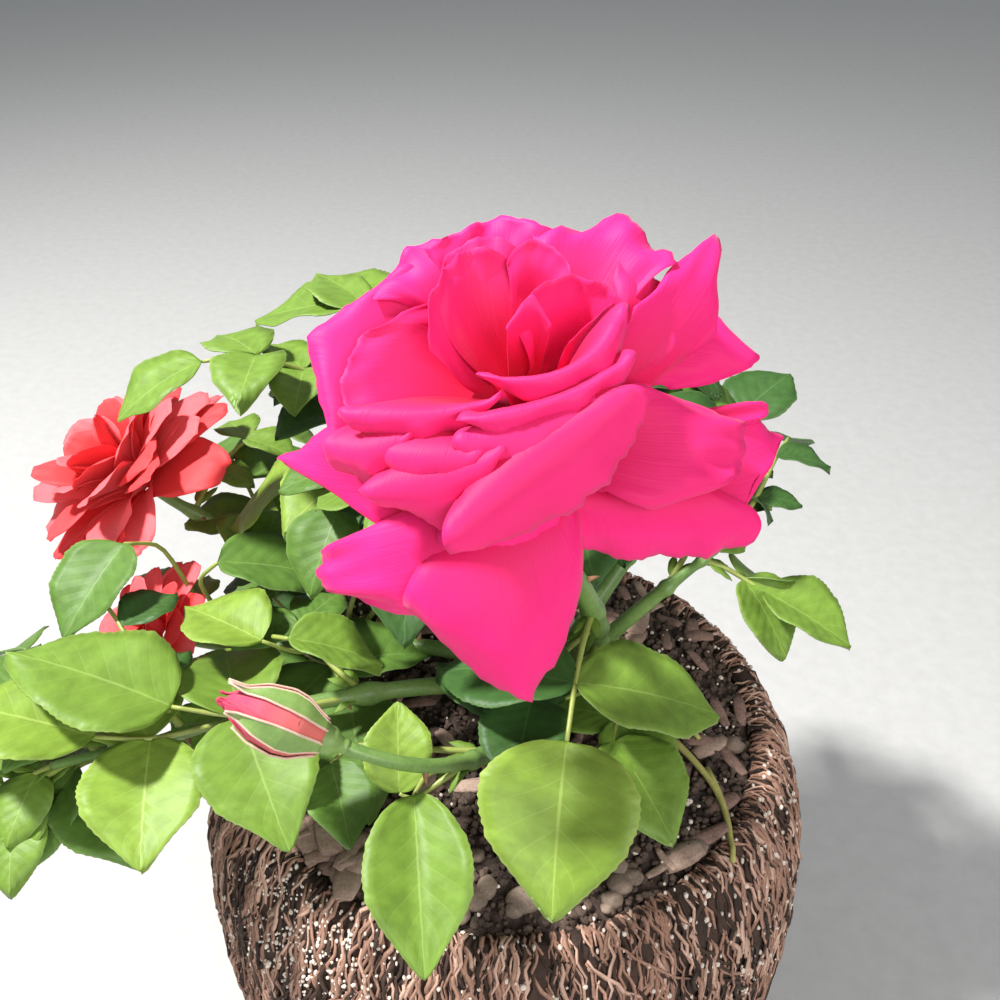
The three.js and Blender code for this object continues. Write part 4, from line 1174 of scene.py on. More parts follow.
def bent_leaflet(one, seed, broad=0.5, wide=LEAFLET_WIDTH, fold=None, curl=None, long=1, grid=NEAR_GRID):
    """One leaflet's points: across its blade and along it, on top and underneath."""
    length = one["length"] * long
    ahead, up = one["ahead"], one["up"]
    side = np.cross(ahead, up)
    fold = stray((seed, 61), *LEAF_FOLD) if fold is None else fold
    curl = stray((seed, 62), *LEAF_CURL) if curl is None else curl
    u, v = grid["u"], grid["v"]
    edge = np.abs(u) > EDGE
    tooth = (v * grid["teeth"]) % 1
    uneven = 1 + LEAF_UNEVEN * np.sin(5 * v + 7 * chance(seed, 63))
    half = length * wide * LEAF_WIDER / 2 * leaf_outline(v, broad) * uneven
    out = u * half * (1 - TOOTH_DEPTH * (1 - tooth) * edge * (v > 0.03))
    forward = (v + TOOTH_LEAN * tooth * edge) * length
    wave = np.sin(2 * math.pi * (WAVE_PACE * v + chance(seed, 65)) + 2 * np.sign(u))
    lift = np.abs(out) * fold - curl * length * u * u * v * v + LEAF_WAVE * length * u * u * wave
    ribs = RIB_HEIGHT * np.abs(np.sin(math.pi * RIBS * (v - RIB_LEAN * np.abs(u)))) * (1 - v / 2)
    sag = LEAFLET_SAG * stray((seed, 66), *LEAF_SAGS) * v * v
    twist = math.radians(LEAF_TWIST) * (chance(seed, 67) - 0.5) * v
    across = out * np.cos(twist) + LEAF_LEAN * (chance(seed, 64) - 0.5) * length * v * v
    height = lift + (ribs - sag) * length + out * np.sin(twist)
    middle = one["foot"] + ahead * forward[:, None] + side * across[:, None] + up * height[:, None]
    thick = up * LEAF_THICK / 2
    return np.concatenate([middle + thick, middle - thick]), grid["faces"], grid["map"]


print("outline's greatest half width", round(float(leaf_outline(np.linspace(0, 1, 99), 0.5).max()), 2))

# %% [markdown]
# Leaves differ in tint: young ones are bright and yellowish, old ones deep green. On the leaves with a marked
# place these tints paint light as well: bright is partly painted sunlight, and deep is painted shade. One
# material could vary the tint by object, but these leaves are joined, so each tint is a material of its own
# and is dealt out leaf by leaf. The ribs and the edge are pale lines, and the blade swells between the ribs.

# %% Leaf finishes
VEIN_SLANT, VEIN_PALE, LEAF_SHADE, LEAF_GRAIN = 0.30, 0.42, 0.70, 0.35


def leaf_material(name, top, low, rib, gloss):
    material, tree, shader = new_material(
        name, gloss, Specular_IOR_Level=0.28, Coat_Weight=0.02, Coat_Roughness=0.4)
    veins = use_group(tree, VEINS, Map=own_map(tree), Ribs=RIBS, Slant=VEIN_SLANT)
    clouds = past(tree, noise(tree, own_map(tree), 9, 4), 0.35, 2.4)
    shade = tuple(LEAF_SHADE * c for c in top)
    colour = blend_colours(tree, clouds, (*shade, 1), (*top, 1))
    colour = blend_colours(tree, past(tree, veins.outputs["Out"], 0.9, 5), colour, (*rib, 1))
    colour = blend_colours(tree, veins.outputs["Under"], colour, (*low, 1))
    colour = blend_colours(tree, times(tree, veins.outputs["Rib"], VEIN_PALE), colour, (*rib, 1))
    tree.links.new(colour, shader.inputs["Base Color"])
    fine = times(tree, noise(tree, own_map(tree), 60, 2), LEAF_GRAIN)
    raise_surface(tree, shader, sums(tree, "ADD", veins.outputs["Quilt"], fine), 0.3, 0.0004)
    return material


LEAF_COLOURS = {
    "bright": ((0.235, 0.365, 0.046), (0.27, 0.40, 0.12), (0.42, 0.52, 0.14), 0.50),
    "fresh": ((0.175, 0.295, 0.038), (0.22, 0.33, 0.10), (0.31, 0.42, 0.11), 0.50),
    "green": ((0.110, 0.215, 0.034), (0.17, 0.27, 0.09), (0.22, 0.33, 0.09), 0.52),
    # deep is the own green of old leaves, and painted shade on leaves in the bloom's shadow.
    "deep": ((0.050, 0.125, 0.026), (0.10, 0.19, 0.06), (0.12, 0.21, 0.06), 0.5),
}
LEAF_TINTS = {tint: leaf_material(f"leaf_{tint}", *look) for tint, look in LEAF_COLOURS.items()}
print("leaf tints", list(LEAF_TINTS))

# %% [markdown]
# The leaves with a marked place get the tint that they have in the photograph, and a finer grid, since they
# are seen from close by. So their tint paints light too: deep is painted shade on those in the bloom's
# shadow, and bright is partly painted sunlight on those in full sun. The others get a tint by chance. A few
# leaflets have a look of their own, named by the leaf's number and theirs.

# %% Leaves
FOLIAGE = [name for name in NODES if name.endswith("_foliage")]
# Besides their own tint, bright partly paints sunlight and deep paints shade on these leaves.
PLACED_TINTS_AND_SHADE = ["bright", "deep", "fresh", "fresh", "bright", "deep", "bright", "fresh", "bright", "green",
                "fresh", "fresh", "bright", "green", "fresh", "green", "fresh", "green", "bright", "bright"]
LOOKS = {
    (0, 0): dict(wide=0.86, fold=0.5, curl=0.1, tint="bright", long=0.93),
    # Painted shade: this side leaflet lies in the bloom's shadow, so it takes the deep tint.
    (0, 1): dict(wide=0.74, fold=0.2, curl=0.05, tint="deep"),
    (0, 2): dict(wide=0.74, fold=0.2, curl=0.05, tint="fresh"),
    (4, 0): dict(wide=0.56, fold=0.6, curl=0.02, tint="fresh"),
    (5, 0): dict(wide=0.7, fold=0.4, curl=0.05, tint="green"),
    (7, 1): dict(curl=0.0, long=0.92),
    (7, 2): dict(curl=0.0, long=0.92),
}
blades = {tint: [] for tint in LEAF_TINTS}
for number, leaf in enumerate(leaves):
    near = number < len(PLACED_TINTS_AND_SHADE)
    tint = PLACED_TINTS_AND_SHADE[number] if near else list(LEAF_TINTS)[int(1 + 3 * chance(number, 71))]
    for k, one in enumerate(leaf["leaflets"]):
        look = dict(LOOKS.get((number, k), {}), grid=NEAR_GRID if near else FAR_GRID)
        own_tint = look.pop("tint", tint)
        blades[own_tint].append(bent_leaflet(one, number * 7 + k, chance(number, k, 72), **look))
for tint, parts in blades.items():
    make_piece(f"leaves_{tint}", parts, LEAF_TINTS[tint], FOLIAGE, uv=True)

# %% [markdown]
# ## Canes, stalks and thorns
# Young rose canes are smooth and green, and a little thicker at each leaf. A curve with a bevel would do for
# a plain cane, but a tube of points can also swell and have faint ridges.

# %% Canes
PLANT = [name for name in NODES if name.endswith("_bough")] + FOLIAGE
CANE_RINGS, CANE_SIDES = 90, 16
CANE_RIDGES, CANE_RINGED = 0.03, 0.012
TIP_THINNER, NODE_SWELL, NODE_LENGTH = 0.6, 0.9, 0.022
CANE_GREEN = mottled("cane_green", (0.205, 0.330, 0.085), (0.115, 0.215, 0.050), 0.42, 0.25, 0.0004)


def bare_radius(cane, share):
    foot, tip = cane["radii"]
    return foot + (tip - foot) * share


def cane_radius(cane, share):
    """A cane's radius, with a swelling at each leaf and a thin tip where no bloom sits on it."""
    radius = bare_radius(cane, share)
    if cane["name"] not in BLOOM_ROOMS:
        radius = radius * (1 - TIP_THINNER * smooth((share - 0.5) / 0.5))
    for leaf in leaves:
        if leaf["cane"] is cane:
            radius = radius + NODE_SWELL * np.exp(-((share - leaf["share"]) / NODE_LENGTH) ** 2)
    return radius


def cane_mesh(cane):
    shares = np.linspace(0, 1, CANE_RINGS + 1)
    ridge = 1 + CANE_RIDGES * np.sin(5 * whole_turn(CANE_SIDES)[None, :] + 9 * shares[:, None])
    ridge = ridge + CANE_RINGED * np.sin(60 * shares)[:, None]
    return tube(sampled(cane["line"], shares, 3), cane_radius(cane, shares), CANE_SIDES, ridge)


make_piece("canes", [cane_mesh(cane) for cane in CANES.values()], CANE_GREEN, PLANT)

# %% [markdown]
# Thorns are small hooks that turn down, which helps a rose to climb. One cone turned down would do from far
# off, but a tube can bend. They come every 30 mm, wherever the leaves sit, and leave the tip bare.

# %% Thorns
THORN_GAP, THORN_LENGTH, LAST_THORN = 30, (2.4, 1.8), 0.86
THORN_RADIUS, THORN_DEEP, THORN_HOOK, THORN_SHARP = 1.25, 0.6, 0.35, 0.04
THORN_RED = mottled("thorn_red", (0.36, 0.20, 0.10), (0.24, 0.10, 0.06), 0.4, 0.2, 0.0003)


def thorn(place, out, down, length):
    t = np.linspace(0, 1, 6)[:, None]
    path = place - out * THORN_DEEP + out * (length + THORN_DEEP) * t + down * length * THORN_HOOK * t * t
    return tube(path, THORN_RADIUS * (1 - t[:, 0]) ** 0.8 + THORN_SHARP, 7)


thorns = []
for cane in CANES.values():
    length = np.linalg.norm(np.diff(cane["line"], axis=0), axis=1).sum()
    for i in range(int(length / THORN_GAP)):
        share = (i + stray((cane["number"], i, 81), 0.7, 0.4)) * THORN_GAP / length
        if share > LAST_THORN:
            continue
        at, ahead = along(cane["line"], share)
        side = unit(np.cross(ahead, UP + 0.01))
        angle = 2 * math.pi * chance(cane["number"], i, 82)
        out = side * math.cos(angle) + np.cross(ahead, side) * math.sin(angle)
        root = at + out * bare_radius(cane, share)
        thorns.append(thorn(root, out, -ahead, stray((cane["number"], i, 83), *THORN_LENGTH)))
make_piece("thorns", thorns, THORN_RED, PLANT)

# %% [markdown]
# A leaf's stalk is thickest at the cane and thins to the end leaflet. It starts in a pair of small wings
# that clasp the cane. They are narrow leaflets, so the leaflet's own rule makes them too.

# %% Leaf stalks and their wings
STALK_RINGS, STALK_RADIUS, STALK_THINNER, STALK_FOOT = 14, 1.25, 0.5, 0.5
WING_LENGTH, WING_WIDTH, WING_APART, WING_SPREAD = 11, 0.3, 0.8, 0.35
FIRST_WING = 900
STALK_GREEN = mottled("stalk_green", (0.34, 0.40, 0.09), (0.25, 0.30, 0.06), 0.42, 0.2, 0.0003)


def wings(path, seed):
    """The pair of narrow blades along the foot of a stalk."""
    parts = []
    way = unit(path[3] - path[0])
    flat = unit(np.cross(way, UP + 0.01))
    for sign in (1, -1):
        ahead = unit(way + flat * sign * WING_SPREAD)
        blade = dict(foot=path[1] + flat * sign * WING_APART, ahead=ahead, length=WING_LENGTH)
        blade["up"] = unit(np.cross(flat * sign, ahead) * sign)
        parts.append(bent_leaflet(blade, seed + sign, 0.2, WING_WIDTH, 0.1, 0.0, grid=WING_GRID))
    return parts


leaf_stalks, stipules = [], []
for number, leaf in enumerate(leaves):
    t = np.linspace(0, 1, STALK_RINGS + 1)
    path = sampled(leaf["stalk"], t, 2)
    leaf_stalks.append(tube(path, STALK_RADIUS - STALK_THINNER * t + STALK_FOOT * np.exp(-t * 14), 8))
    stipules += wings(path, FIRST_WING + 3 * number)
make_piece("leaf_stalks", leaf_stalks, STALK_GREEN, FOLIAGE)
make_piece("stalk_wings", stipules, LEAF_TINTS["fresh"], FOLIAGE, uv=True)

# %% [markdown]
# The stem of the big bloom wears a swollen olive sheath near its foot. It is one more tube round a part of
# the cane's own curve, so it follows the cane wherever that is moved.

# %% Sheath on the main stem
SHEATH, SHEATH_RINGS, SHEATH_SIDES = (0.06, 0.26), 16, 24
SHEATH_THICK, SHEATH_SWELL, SHEATH_RIBS = 0.25, 1.7, 0.03
SHEATH_OLIVE = mottled("sheath_olive", (0.25, 0.27, 0.09), (0.16, 0.20, 0.06), 0.5)
main = CANES["front"]
shares = np.linspace(*SHEATH, SHEATH_RINGS)
swell = SHEATH_THICK + SHEATH_SWELL * np.sin(math.pi * np.linspace(0, 1, SHEATH_RINGS)) ** 0.7
ribbed = 1 + SHEATH_RIBS * np.sin(6 * whole_turn(SHEATH_SIDES))[None, :]
sheath = tube(sampled(main["line"], shares, 3), bare_radius(main, shares) + swell, SHEATH_SIDES, ribbed)
make_piece("stem_sheath", [sheath], SHEATH_OLIVE, PLANT)

# %% [markdown]
# The crown is the woody knob that all canes spring from. It could be sculpted, but little of it shows, so it
# is a short tube whose rings follow a profile. Waves round it make knobs, and noise makes them uneven.

# %% Crown
CROWN_OUTLINE = [(19, 0), (16, 4), (12.5, 9), (14, 14), (12, 19), (6, 22), (0.4, 23)]
CROWN_LEAN, CROWN_SHRUNK, CROWN_ROUGH = -0.1, 0.97, 0.5
CROWN_RINGS, CROWN_SIDES = 30, 40
CROWN_BARK = mottled("crown_bark", (0.24, 0.20, 0.11), (0.09, 0.07, 0.045), 0.8, 0.9, 0.0012)
heights = np.linspace(0, CROWN_OUTLINE[-1][1], CROWN_RINGS)
path = CROWN + heights[:, None] * (CROWN_LEAN, 0, 1)
angles = whole_turn(CROWN_SIDES)[None, :]
knobs = 1 + 0.08 * np.sin(3 * angles + heights[:, None] / 5) + 0.05 * np.sin(11 * angles)
radii = np.interp(heights, [z for r, z in CROWN_OUTLINE], [r for r, z in CROWN_OUTLINE]) * CROWN_SHRUNK
points, faces = tube(path, radii, CROWN_SIDES, knobs)
points = points + CROWN_ROUGH * lattice(points, 0.9, 12)[:, None] * (1, 1, 0)
make_piece("crown_wood", [(points, faces)], CROWN_BARK, ["crown"])

# %% [markdown]
# ## Petals
# A petal is a curved patch through three rows of three places: its narrow foot, its middle and its rim.
# Nine places are few enough to be given one by one, where a sculpted petal would need thousands. The form
# gives its outline, rounded or pointed.

# %% Petal patches
PETAL_MIDDLE = 0.56
PETAL_GRID, SMALL_GRID = blade_grid(26, 26), blade_grid(20, 20)
PETAL_FORMS = {
    "point": dict(power=1.3, corner=0.14, roll=1.6, ruffle=0.8, pull=0.75, drop=0.6),
    "round": dict(power=2.3, corner=0.16, roll=2.0, ruffle=1.1, pull=0.4, drop=0),
    "crown": dict(power=1.2, corner=0.02, roll=1.0, ruffle=1.3, pull=0.45, drop=0),
    "cup": dict(power=1.15, corner=0.06, roll=1.3, ruffle=0.9, pull=0.5, drop=0.2),
    "roll": dict(power=2.3, corner=0.22, roll=0.7, ruffle=1.4, pull=0.45, drop=0),
    "square": dict(power=3.4, corner=0.06, roll=1.8, ruffle=1.0, pull=0.1, drop=0),
    "strap": dict(power=2.5, corner=0.3, roll=1.3, ruffle=1.0),
}


def patch(rows, u, v, power, corner):
    """Places on a petal's patch, before its margin is curled."""
    v = v * (1 - corner * np.abs(u) ** 5)
    m = PETAL_MIDDLE
    along_row = [(v - m) * (v - 1) / m, v * (1 - v) / (m * (1 - m)), v * (v - m) / (1 - m)]
    sharp = 2 + (power - 2) * smooth((v - m) / (1 - m))
    bend = np.abs(u) ** sharp
    across = [(bend - u) / 2, 1 - bend, (bend + u) / 2]
    return sum(np.outer(along_row[i] * across[k], rows[i][k]) for i in range(3) for k in range(3))


print("places on a petal", len(PETAL_GRID["u"]))

# %% [markdown]
# A bare patch looks like sheet metal. A real petal's margin curls away from the heart of the bloom, ruffles,
# is a little nicked, and thins to its edge. A cloth simulation could fold it, but slowly, and not where one
# wants it. So curl and ruffle are added along the patch's normal, and the nicks along its length.

# %% Petal
PETAL_THICK = 0.4
RUFFLE_SIZE, BROAD_PETAL = 48, 36
MARGIN_FROM, TIP_FROM, MARGIN_THINNER = 0.6, 0.72, 0.5
CURL_STRAY, SIDE_CURL, WAVE_STRAY, SMALL_WAVE = (0.6, 0.8), 0.5, (5, 4), 0.5
BROAD_WAVE, FINE_WAVE, NICKS, SMALL_NICKS = 0.012, 0.05, 0.9, 0.55


def petal(rows, form, seed, inward, thick=PETAL_THICK, grid=PETAL_GRID):
    """One petal from its rows; inward is where its upper side faces near its middle."""
    look = PETAL_FORMS[form]
    rows = [[np.array(place, float) for place in row] for row in rows]
    u, v = grid["u"], grid["v"]
    size = np.linalg.norm(rows[2][1] - rows[0][1])
    step = 0.002

    def place(u, v):
        return patch(rows, u, v, look["power"], look["corner"])

    points = place(u, v)
    normal = np.cross(place(u + step, v) - place(u - step, v), place(u, v + step) - place(u, v - step))
    normal = normal / np.maximum(np.linalg.norm(normal, axis=1), 1e-9)[:, None]
    sign = 1 if (normal[(v > 0.3) & (v < 0.7)].mean(axis=0) @ inward) > 0 else -1
    normal = normal * sign
    side, end = smooth((np.abs(u) - MARGIN_FROM) / (1 - MARGIN_FROM)), smooth((v - TIP_FROM) / (1 - TIP_FROM))
    margin = np.maximum(side * smooth(v / 0.5), end)
    grown = min(size / RUFFLE_SIZE, 1.2)
    broadness = min(np.linalg.norm(np.subtract(rows[2][2], rows[2][0])) / BROAD_PETAL, 1)
    curl = -look["roll"] * grown * stray((seed, 31), *CURL_STRAY)
    curl = curl * (end ** 2 + SIDE_CURL * side ** 2 * smooth(v / 0.6))
    waves = np.sin(u * stray((seed, 32), *WAVE_STRAY) + 6 * v + 9 * chance(seed, 33))
    waves = waves + SMALL_WAVE * np.sin(13 * u - 9 * v + 7 * chance(seed, 34))
    lift = look["ruffle"] * grown * broadness * margin * waves
    broad = BROAD_WAVE * size * np.sin(3.1 * u + 5 * chance(seed, 35)) * np.sin(math.pi * v)
    fine = FINE_WAVE * np.sin(34 * u + 2 * np.sin(5 * v))
    nick = NICKS * np.sin(17 * broadness * u + 9 * chance(seed, 36))
    nick = nick + SMALL_NICKS * np.sin(41 * broadness * u + 5 * chance(seed, 37))
    points = points + normal * (curl + lift + broad + fine)[:, None]
    points = points + (rows[2][1] - rows[1][1]) * (nick * broadness * end / max(size, 1))[:, None]
    body = normal * thick * (1 - MARGIN_THINNER * margin)[:, None] / 2
    faces = grid["faces"] if sign > 0 else [tuple(reversed(face)) for face in grid["faces"]]
    return np.concatenate([points + body, points - body]), faces, grid["map"]


def to_bloom(name, part):
    """Stands a part, drawn about a bloom's own axis, at the tip of its cane."""
    turn = Vector((0, 0, 1)).rotation_difference(Vector(CANES[name]["axis"])).to_matrix()
    return part[0] @ np.array(turn).T + CANES[name]["bloom_at"], *part[1:]


print("blooms stand on", list(BLOOM_ROOMS))

# %% [markdown]
# A petal is pinker at its rim, with fine lines along it, and has a colour of its own at its foot: in the open
# blooms the deepest red, which is painted shade where the petals overlap round the heart. Light shines
# through a real one. A see-through shader would show that, but slowly and with noise, so a faint glow stands
# for it.

# %% Petal finishes
FOOT_TONE_AND_SHADE_FROM, FOOT_TONE_AND_SHADE_GAIN, CLOUD_FROM, CLOUD_GAIN, CLOUD_SHARE = 0.8, 1.7, 0.4, 1.6, 0.35
LINES_STRETCH = (60, 2.5, 1)


def petal_material(name, top, foot, low, glow):
    material, tree, shader = new_material(
        name, 0.6, Specular_IOR_Level=0.22, Sheen_Weight=0.06, Sheen_Roughness=0.5,
        Emission_Color=(*glow, 1), Emission_Strength=1.0)
    veins = use_group(tree, VEINS, Map=own_map(tree), Ribs=1.0, Slant=0.0)
    # The foot colour is painted shade in the open blooms, and the bud's own paler base.
    foot_tone_and_shade = past(tree, FOOT_TONE_AND_SHADE_FROM, veins.outputs["Along"], FOOT_TONE_AND_SHADE_GAIN)
    colour = blend_colours(tree, foot_tone_and_shade, (*top, 1), (*foot, 1))
    clouds = past(tree, noise(tree, own_map(tree), 6), CLOUD_FROM, CLOUD_GAIN)
    colour = blend_colours(tree, times(tree, clouds, CLOUD_SHARE), colour, (*foot, 1))
    colour = blend_colours(tree, veins.outputs["Under"], colour, (*low, 1))
    tree.links.new(colour, shader.inputs["Base Color"])
    stretch = tree.nodes.new("ShaderNodeMapping")
    stretch.inputs["Scale"].default_value = LINES_STRETCH
    tree.links.new(own_map(tree), stretch.inputs["Vector"])
    raise_surface(tree, shader, noise(tree, stretch.outputs[0], 1.5), 0.35, 0.0004)
    return material


# Each finish's second colour is the painted shade at the petals' feet.
PINK_OUTER = petal_material(
    "pink_outer", (0.80, 0.016, 0.190), (0.60, 0.004, 0.055), (0.72, 0.014, 0.14), (0.06, 0, 0.003))
PINK_INNER = petal_material(
    "pink_inner", (0.78, 0.018, 0.165), (0.56, 0.004, 0.045), (0.72, 0.014, 0.13), (0.03, 0, 0.003))
print("petal finishes", PINK_OUTER.name, PINK_INNER.name)

# %% [markdown]
# The big bloom is nodding open, so no ring of equal petals makes it. Each petal has its own place in the
# bloom's frame, in millimetres: x to the right, y to the back, z out along the axis. First come the places
# of its middle and its rim; then "half", the half widths there; "line", the way that its width runs, in
# degrees from x; "bank", how much the width's second end stands above the first; and "wrap", how far its
# sides come round the heart.

# %% Petals of the main bloom
def shape(form, mid, rim, half, line, bank=0, wrap=4):
    return dict(form=form, mid=mid, rim=rim, half=half, line=line, bank=bank, wrap=wrap)


MAIN_PETALS = {
    "front": shape("point", (-5, -34, 6), (2, -61, -20), half=(22, 28), line=23, bank=2, wrap=10),
    "front_left": shape("round", (-22, -29, 7), (-57, -31, -7), half=(15, 15), line=-66, bank=-10),
    "left": shape("point", (-41, -8, 9), (-69, 1, 0), half=(17, 12), line=-73, bank=-10, wrap=5),
    "cup_left": shape("cup", (-42, 21, 19), (-59, 26, 22), half=(25, 26), line=-107, bank=-8, wrap=9),
    "cup_second": shape("round", (-32, 20, 18), (-46, 17, 25), half=(18, 19), line=-112, bank=-2, wrap=10),
    "back_left": shape("crown", (-18, 39, 22), (-33, 52, 27), half=(10, 20), line=32, bank=3, wrap=1),
    "back_mid": shape("crown", (-8, 41, 22), (-8, 59, 32), half=(12, 20), line=3, bank=3, wrap=2),
    "back_right": shape("crown", (15, 41, 28), (25, 59, 32), half=(13, 20), line=-14, bank=1, wrap=5),
    "right_wall": shape("round", (28, 24, 24), (30, 45, 31), half=(8, 11), line=-36, bank=-6, wrap=0),
    "tall_right": shape("point", (35, 26, 25), (51, 56, 30), half=(10, 12), line=2, bank=-12, wrap=2),
    "back_right_low": shape("point", (39, 33, 11), (66, 31, 7), half=(13, 16), line=-98, bank=-5),
    "right_round": shape("round", (26, -3, 18), (58, 0, 12), half=(14, 16), line=-90, bank=-9, wrap=3),
    "right_low": shape("square", (33, -14, 5), (38, -24, -10), half=(24, 23), line=4, bank=-3, wrap=0),
    "right_sliver": shape("point", (54, -1, 0), (72, 10, -2), half=(13, 13), line=-92, bank=-10, wrap=3),
    "sliver_tip": shape("round", (56, 12, 7), (67, 15, 5), half=(3, 3), line=-80, bank=-2, wrap=0),
    "dish": shape("round", (-15, 30, 19), (-20, 41, 34), half=(13, 16), line=48, bank=2, wrap=6),
    "dish_second": shape("round", (-14, 36, 25), (-16, 48, 34), half=(12, 12), line=36, bank=1, wrap=5),
    "fold_back": shape("round", (3, 37, 25), (4, 43, 37), half=(6, 9), line=-35, bank=0, wrap=5),
    "heart": shape("point", (-1, 25, 28), (0, 29, 36), half=(5, 6), line=5, bank=0, wrap=3),
    "heart_wall": shape("round", (9, 28, 22), (11, 32, 38), half=(9, 14), line=-4, bank=1, wrap=8),
    "heart_fold": shape("round", (13, 20, 24), (18, 27, 34), half=(4, 6), line=42, bank=3, wrap=3),
    "lip": shape("roll", (8, 6, 38), (13, 3, 33), half=(19, 20), line=28, bank=4, wrap=10),
    "second_lip": shape("roll", (4, -1, 36), (7, -5, 32), half=(22, 22), line=22, bank=3),
    "third_lip": shape("roll", (-2, -5, 33), (0, -16, 26), half=(17, 17), line=15, bank=3, wrap=1),
    "bowl_left": shape("roll", (-26, -2, 32), (-28, -8, 26), half=(19, 17), line=1, bank=4, wrap=3),
    "low_left": shape("roll", (-39, -7, 26), (-38, -16, 17), half=(11, 12), line=-8, bank=6, wrap=3),
    "low_mid": shape("roll", (-24, -11, 29), (-24, -19, 20), half=(13, 12), line=-8, bank=4, wrap=1),
    "pointed_lip": shape("point", (-23, -16, 27), (-20, -26, 13), half=(17, 17), line=8, bank=9, wrap=2),
    "diagonal": shape("roll", (0, -13, 31), (14, -19, 18), half=(28, 27), line=36, bank=14, wrap=-2),
    "under_diagonal": shape("round", (-6, -20, 13), (-5, -32, 2), half=(17, 15), line=18, bank=2, wrap=2),
    "under_right": shape("round", (21, 9, 16), (28, -12, 6), half=(12, 18), line=44, bank=3, wrap=3),
}
FEET = {"outer": ((0, 3, 0), 7, 4), "inner": ((-2, 14, 10), 6, 4)}
OUTER = ["front", "front_left", "left", "cup_left", "back_left", "back_mid", "back_right", "tall_right",
         "back_right_low", "right_low", "right_sliver", "sliver_tip", "under_diagonal", "under_right"]
RIM_WRAP, INWARD_RISE, FIRST_PETAL = 0.7, 0.8, 40


def petal_rows(one, kind):
    """The three rows of a petal: its foot near the heart, its middle and its rim."""
    heart, reach, foot_half = FEET[kind]
    heart, middle, tip = (np.array(place, float) for place in (heart, one["mid"], one["rim"]))
    across, back, bank = heading(one["line"], 0), heading(one["line"] + 90, 0), UP * one["bank"] / 2
    if (heart - middle) @ back < 0:
        back = -back
    form = PETAL_FORMS[one["form"]]
    shoulder = (middle - tip) * (form["pull"], form["pull"], form["drop"])
    rows = []
    falls = back * one["wrap"], back * one["wrap"] * RIM_WRAP + shoulder
    for place, half, fall in zip((middle, tip), one["half"], falls):
        rows.append([place - across * half - bank + fall, place, place + across * half + bank + fall])
    out = unit((middle - heart) * (1, 1, 0))
    flat = unit(across - out * (across @ out)) * foot_half
    foot = heart + out * reach
    return [[foot - flat, foot + out, foot + flat]] + rows, heart


bloom = {"outer": [], "inner": []}
for number, (label, one) in enumerate(MAIN_PETALS.items()):
    kind = "outer" if label in OUTER else "inner"
    rows, heart = petal_rows(one, kind)
    inward = unit(heart - np.array(one["mid"], float)) * (1, 1, 0) + UP * INWARD_RISE
    bloom[kind].append(to_bloom("front", petal(rows, one["form"], FIRST_PETAL + number, inward)))
for kind, finish in (("outer", PINK_OUTER), ("inner", PINK_INNER)):
    make_piece(f"petals_{kind}", bloom[kind], finish, ["main_bloom"], uv=True)

# %% [markdown]
# The two red blooms at the left are small and further off, so a rule may place their petals: they are open
# rings of straps. Each row of their tables is one ring: its count, the turn of the first petal and its
# stray; the foot's radius and height; length and half width; the pitch at the foot and at the tip. Every
# second petal has a finish of its own, since the real ones run from red to coral.

# %% Whorls of the two red blooms
UPPER_WHORLS = [
    (9, 10, 14, (4, 3), 50, 13, 20, -30),
    (9, 30, 16, (4, 4), 49, 12, 34, -8),
    (1, 48, 0, (4, 4), 50, 20, 50, 16),
    (8, 8, 18, (3, 6), 45, 12, 48, 14),
    (7, 30, 20, (3, 8), 40, 11, 60, 38),
    (5, 0, 24, (2, 10), 32, 9, 74, 62),
]
LOWER_WHORLS = [
    (8, 0, 16, (3, 3), 30, 11, 22, -26),
    (7, 20, 20, (3, 4), 28, 10, 42, 4),
    (6, 50, 24, (2, 6), 25, 9, 58, 34),
    (4, 10, 24, (2, 7), 20, 7, 74, 60),
]
STRAP_STEPS, STRAP_BEND, STRAP_THICK = 20, 1.6, 0.35
STRAP_ROWS = ((0, 0.4, 0), (PETAL_MIDDLE, 1, 0.16), (1, 0.78, -0.08))
SIZE_STRAY, WIDE_STRAY, FOOT_STRAY, TIP_STRAY = (0.88, 0.2), (0.8, 0.4), (-6, 12), (-14, 28)


def whorl_petal(turn, start, length, half, root, tip, seed):
    """A petal whose middle line bends from one pitch to another as it leaves the foot."""
    out = heading(turn, 0)
    side = np.array([-out[1], out[0], 0])
    steps = np.linspace(0, 1, STRAP_STEPS + 1)
    pitch = np.radians(root + (tip - root) * steps ** STRAP_BEND)[1:]
    line = np.concatenate([[[0, 0]], np.cumsum(np.stack([np.cos(pitch), np.sin(pitch)], axis=1), axis=0)])
    reach, rise = (line * length / STRAP_STEPS + start).T
    rows = []
    for share, wide, back in STRAP_ROWS:
        middle = out * np.interp(share, steps, reach) + UP * np.interp(share, steps, rise)
        lift = UP * half * back - out * half * abs(back)
        rows.append([middle - side * half * wide + lift, middle, middle + side * half * wide + lift])
    return petal(rows, "strap", seed, UP - out, STRAP_THICK, SMALL_GRID)


def whorls(cane, table, seed):
    parts = []
    for ring, (count, turn, wild, start, length, half, root, tip) in enumerate(table):
        for i in range(count):
            key = seed + 20 * ring + i
            angle = turn + i * 360 / count + stray((key, 1), -wild / 2, wild)
            size, wide = length * stray((key, 2), *SIZE_STRAY), half * stray((key, 3), *WIDE_STRAY)
            pitches = root + stray((key, 4), *FOOT_STRAY), tip + stray((key, 5), *TIP_STRAY)
            parts.append(to_bloom(cane, whorl_petal(angle, start, size, wide, *pitches, key)))
    return parts


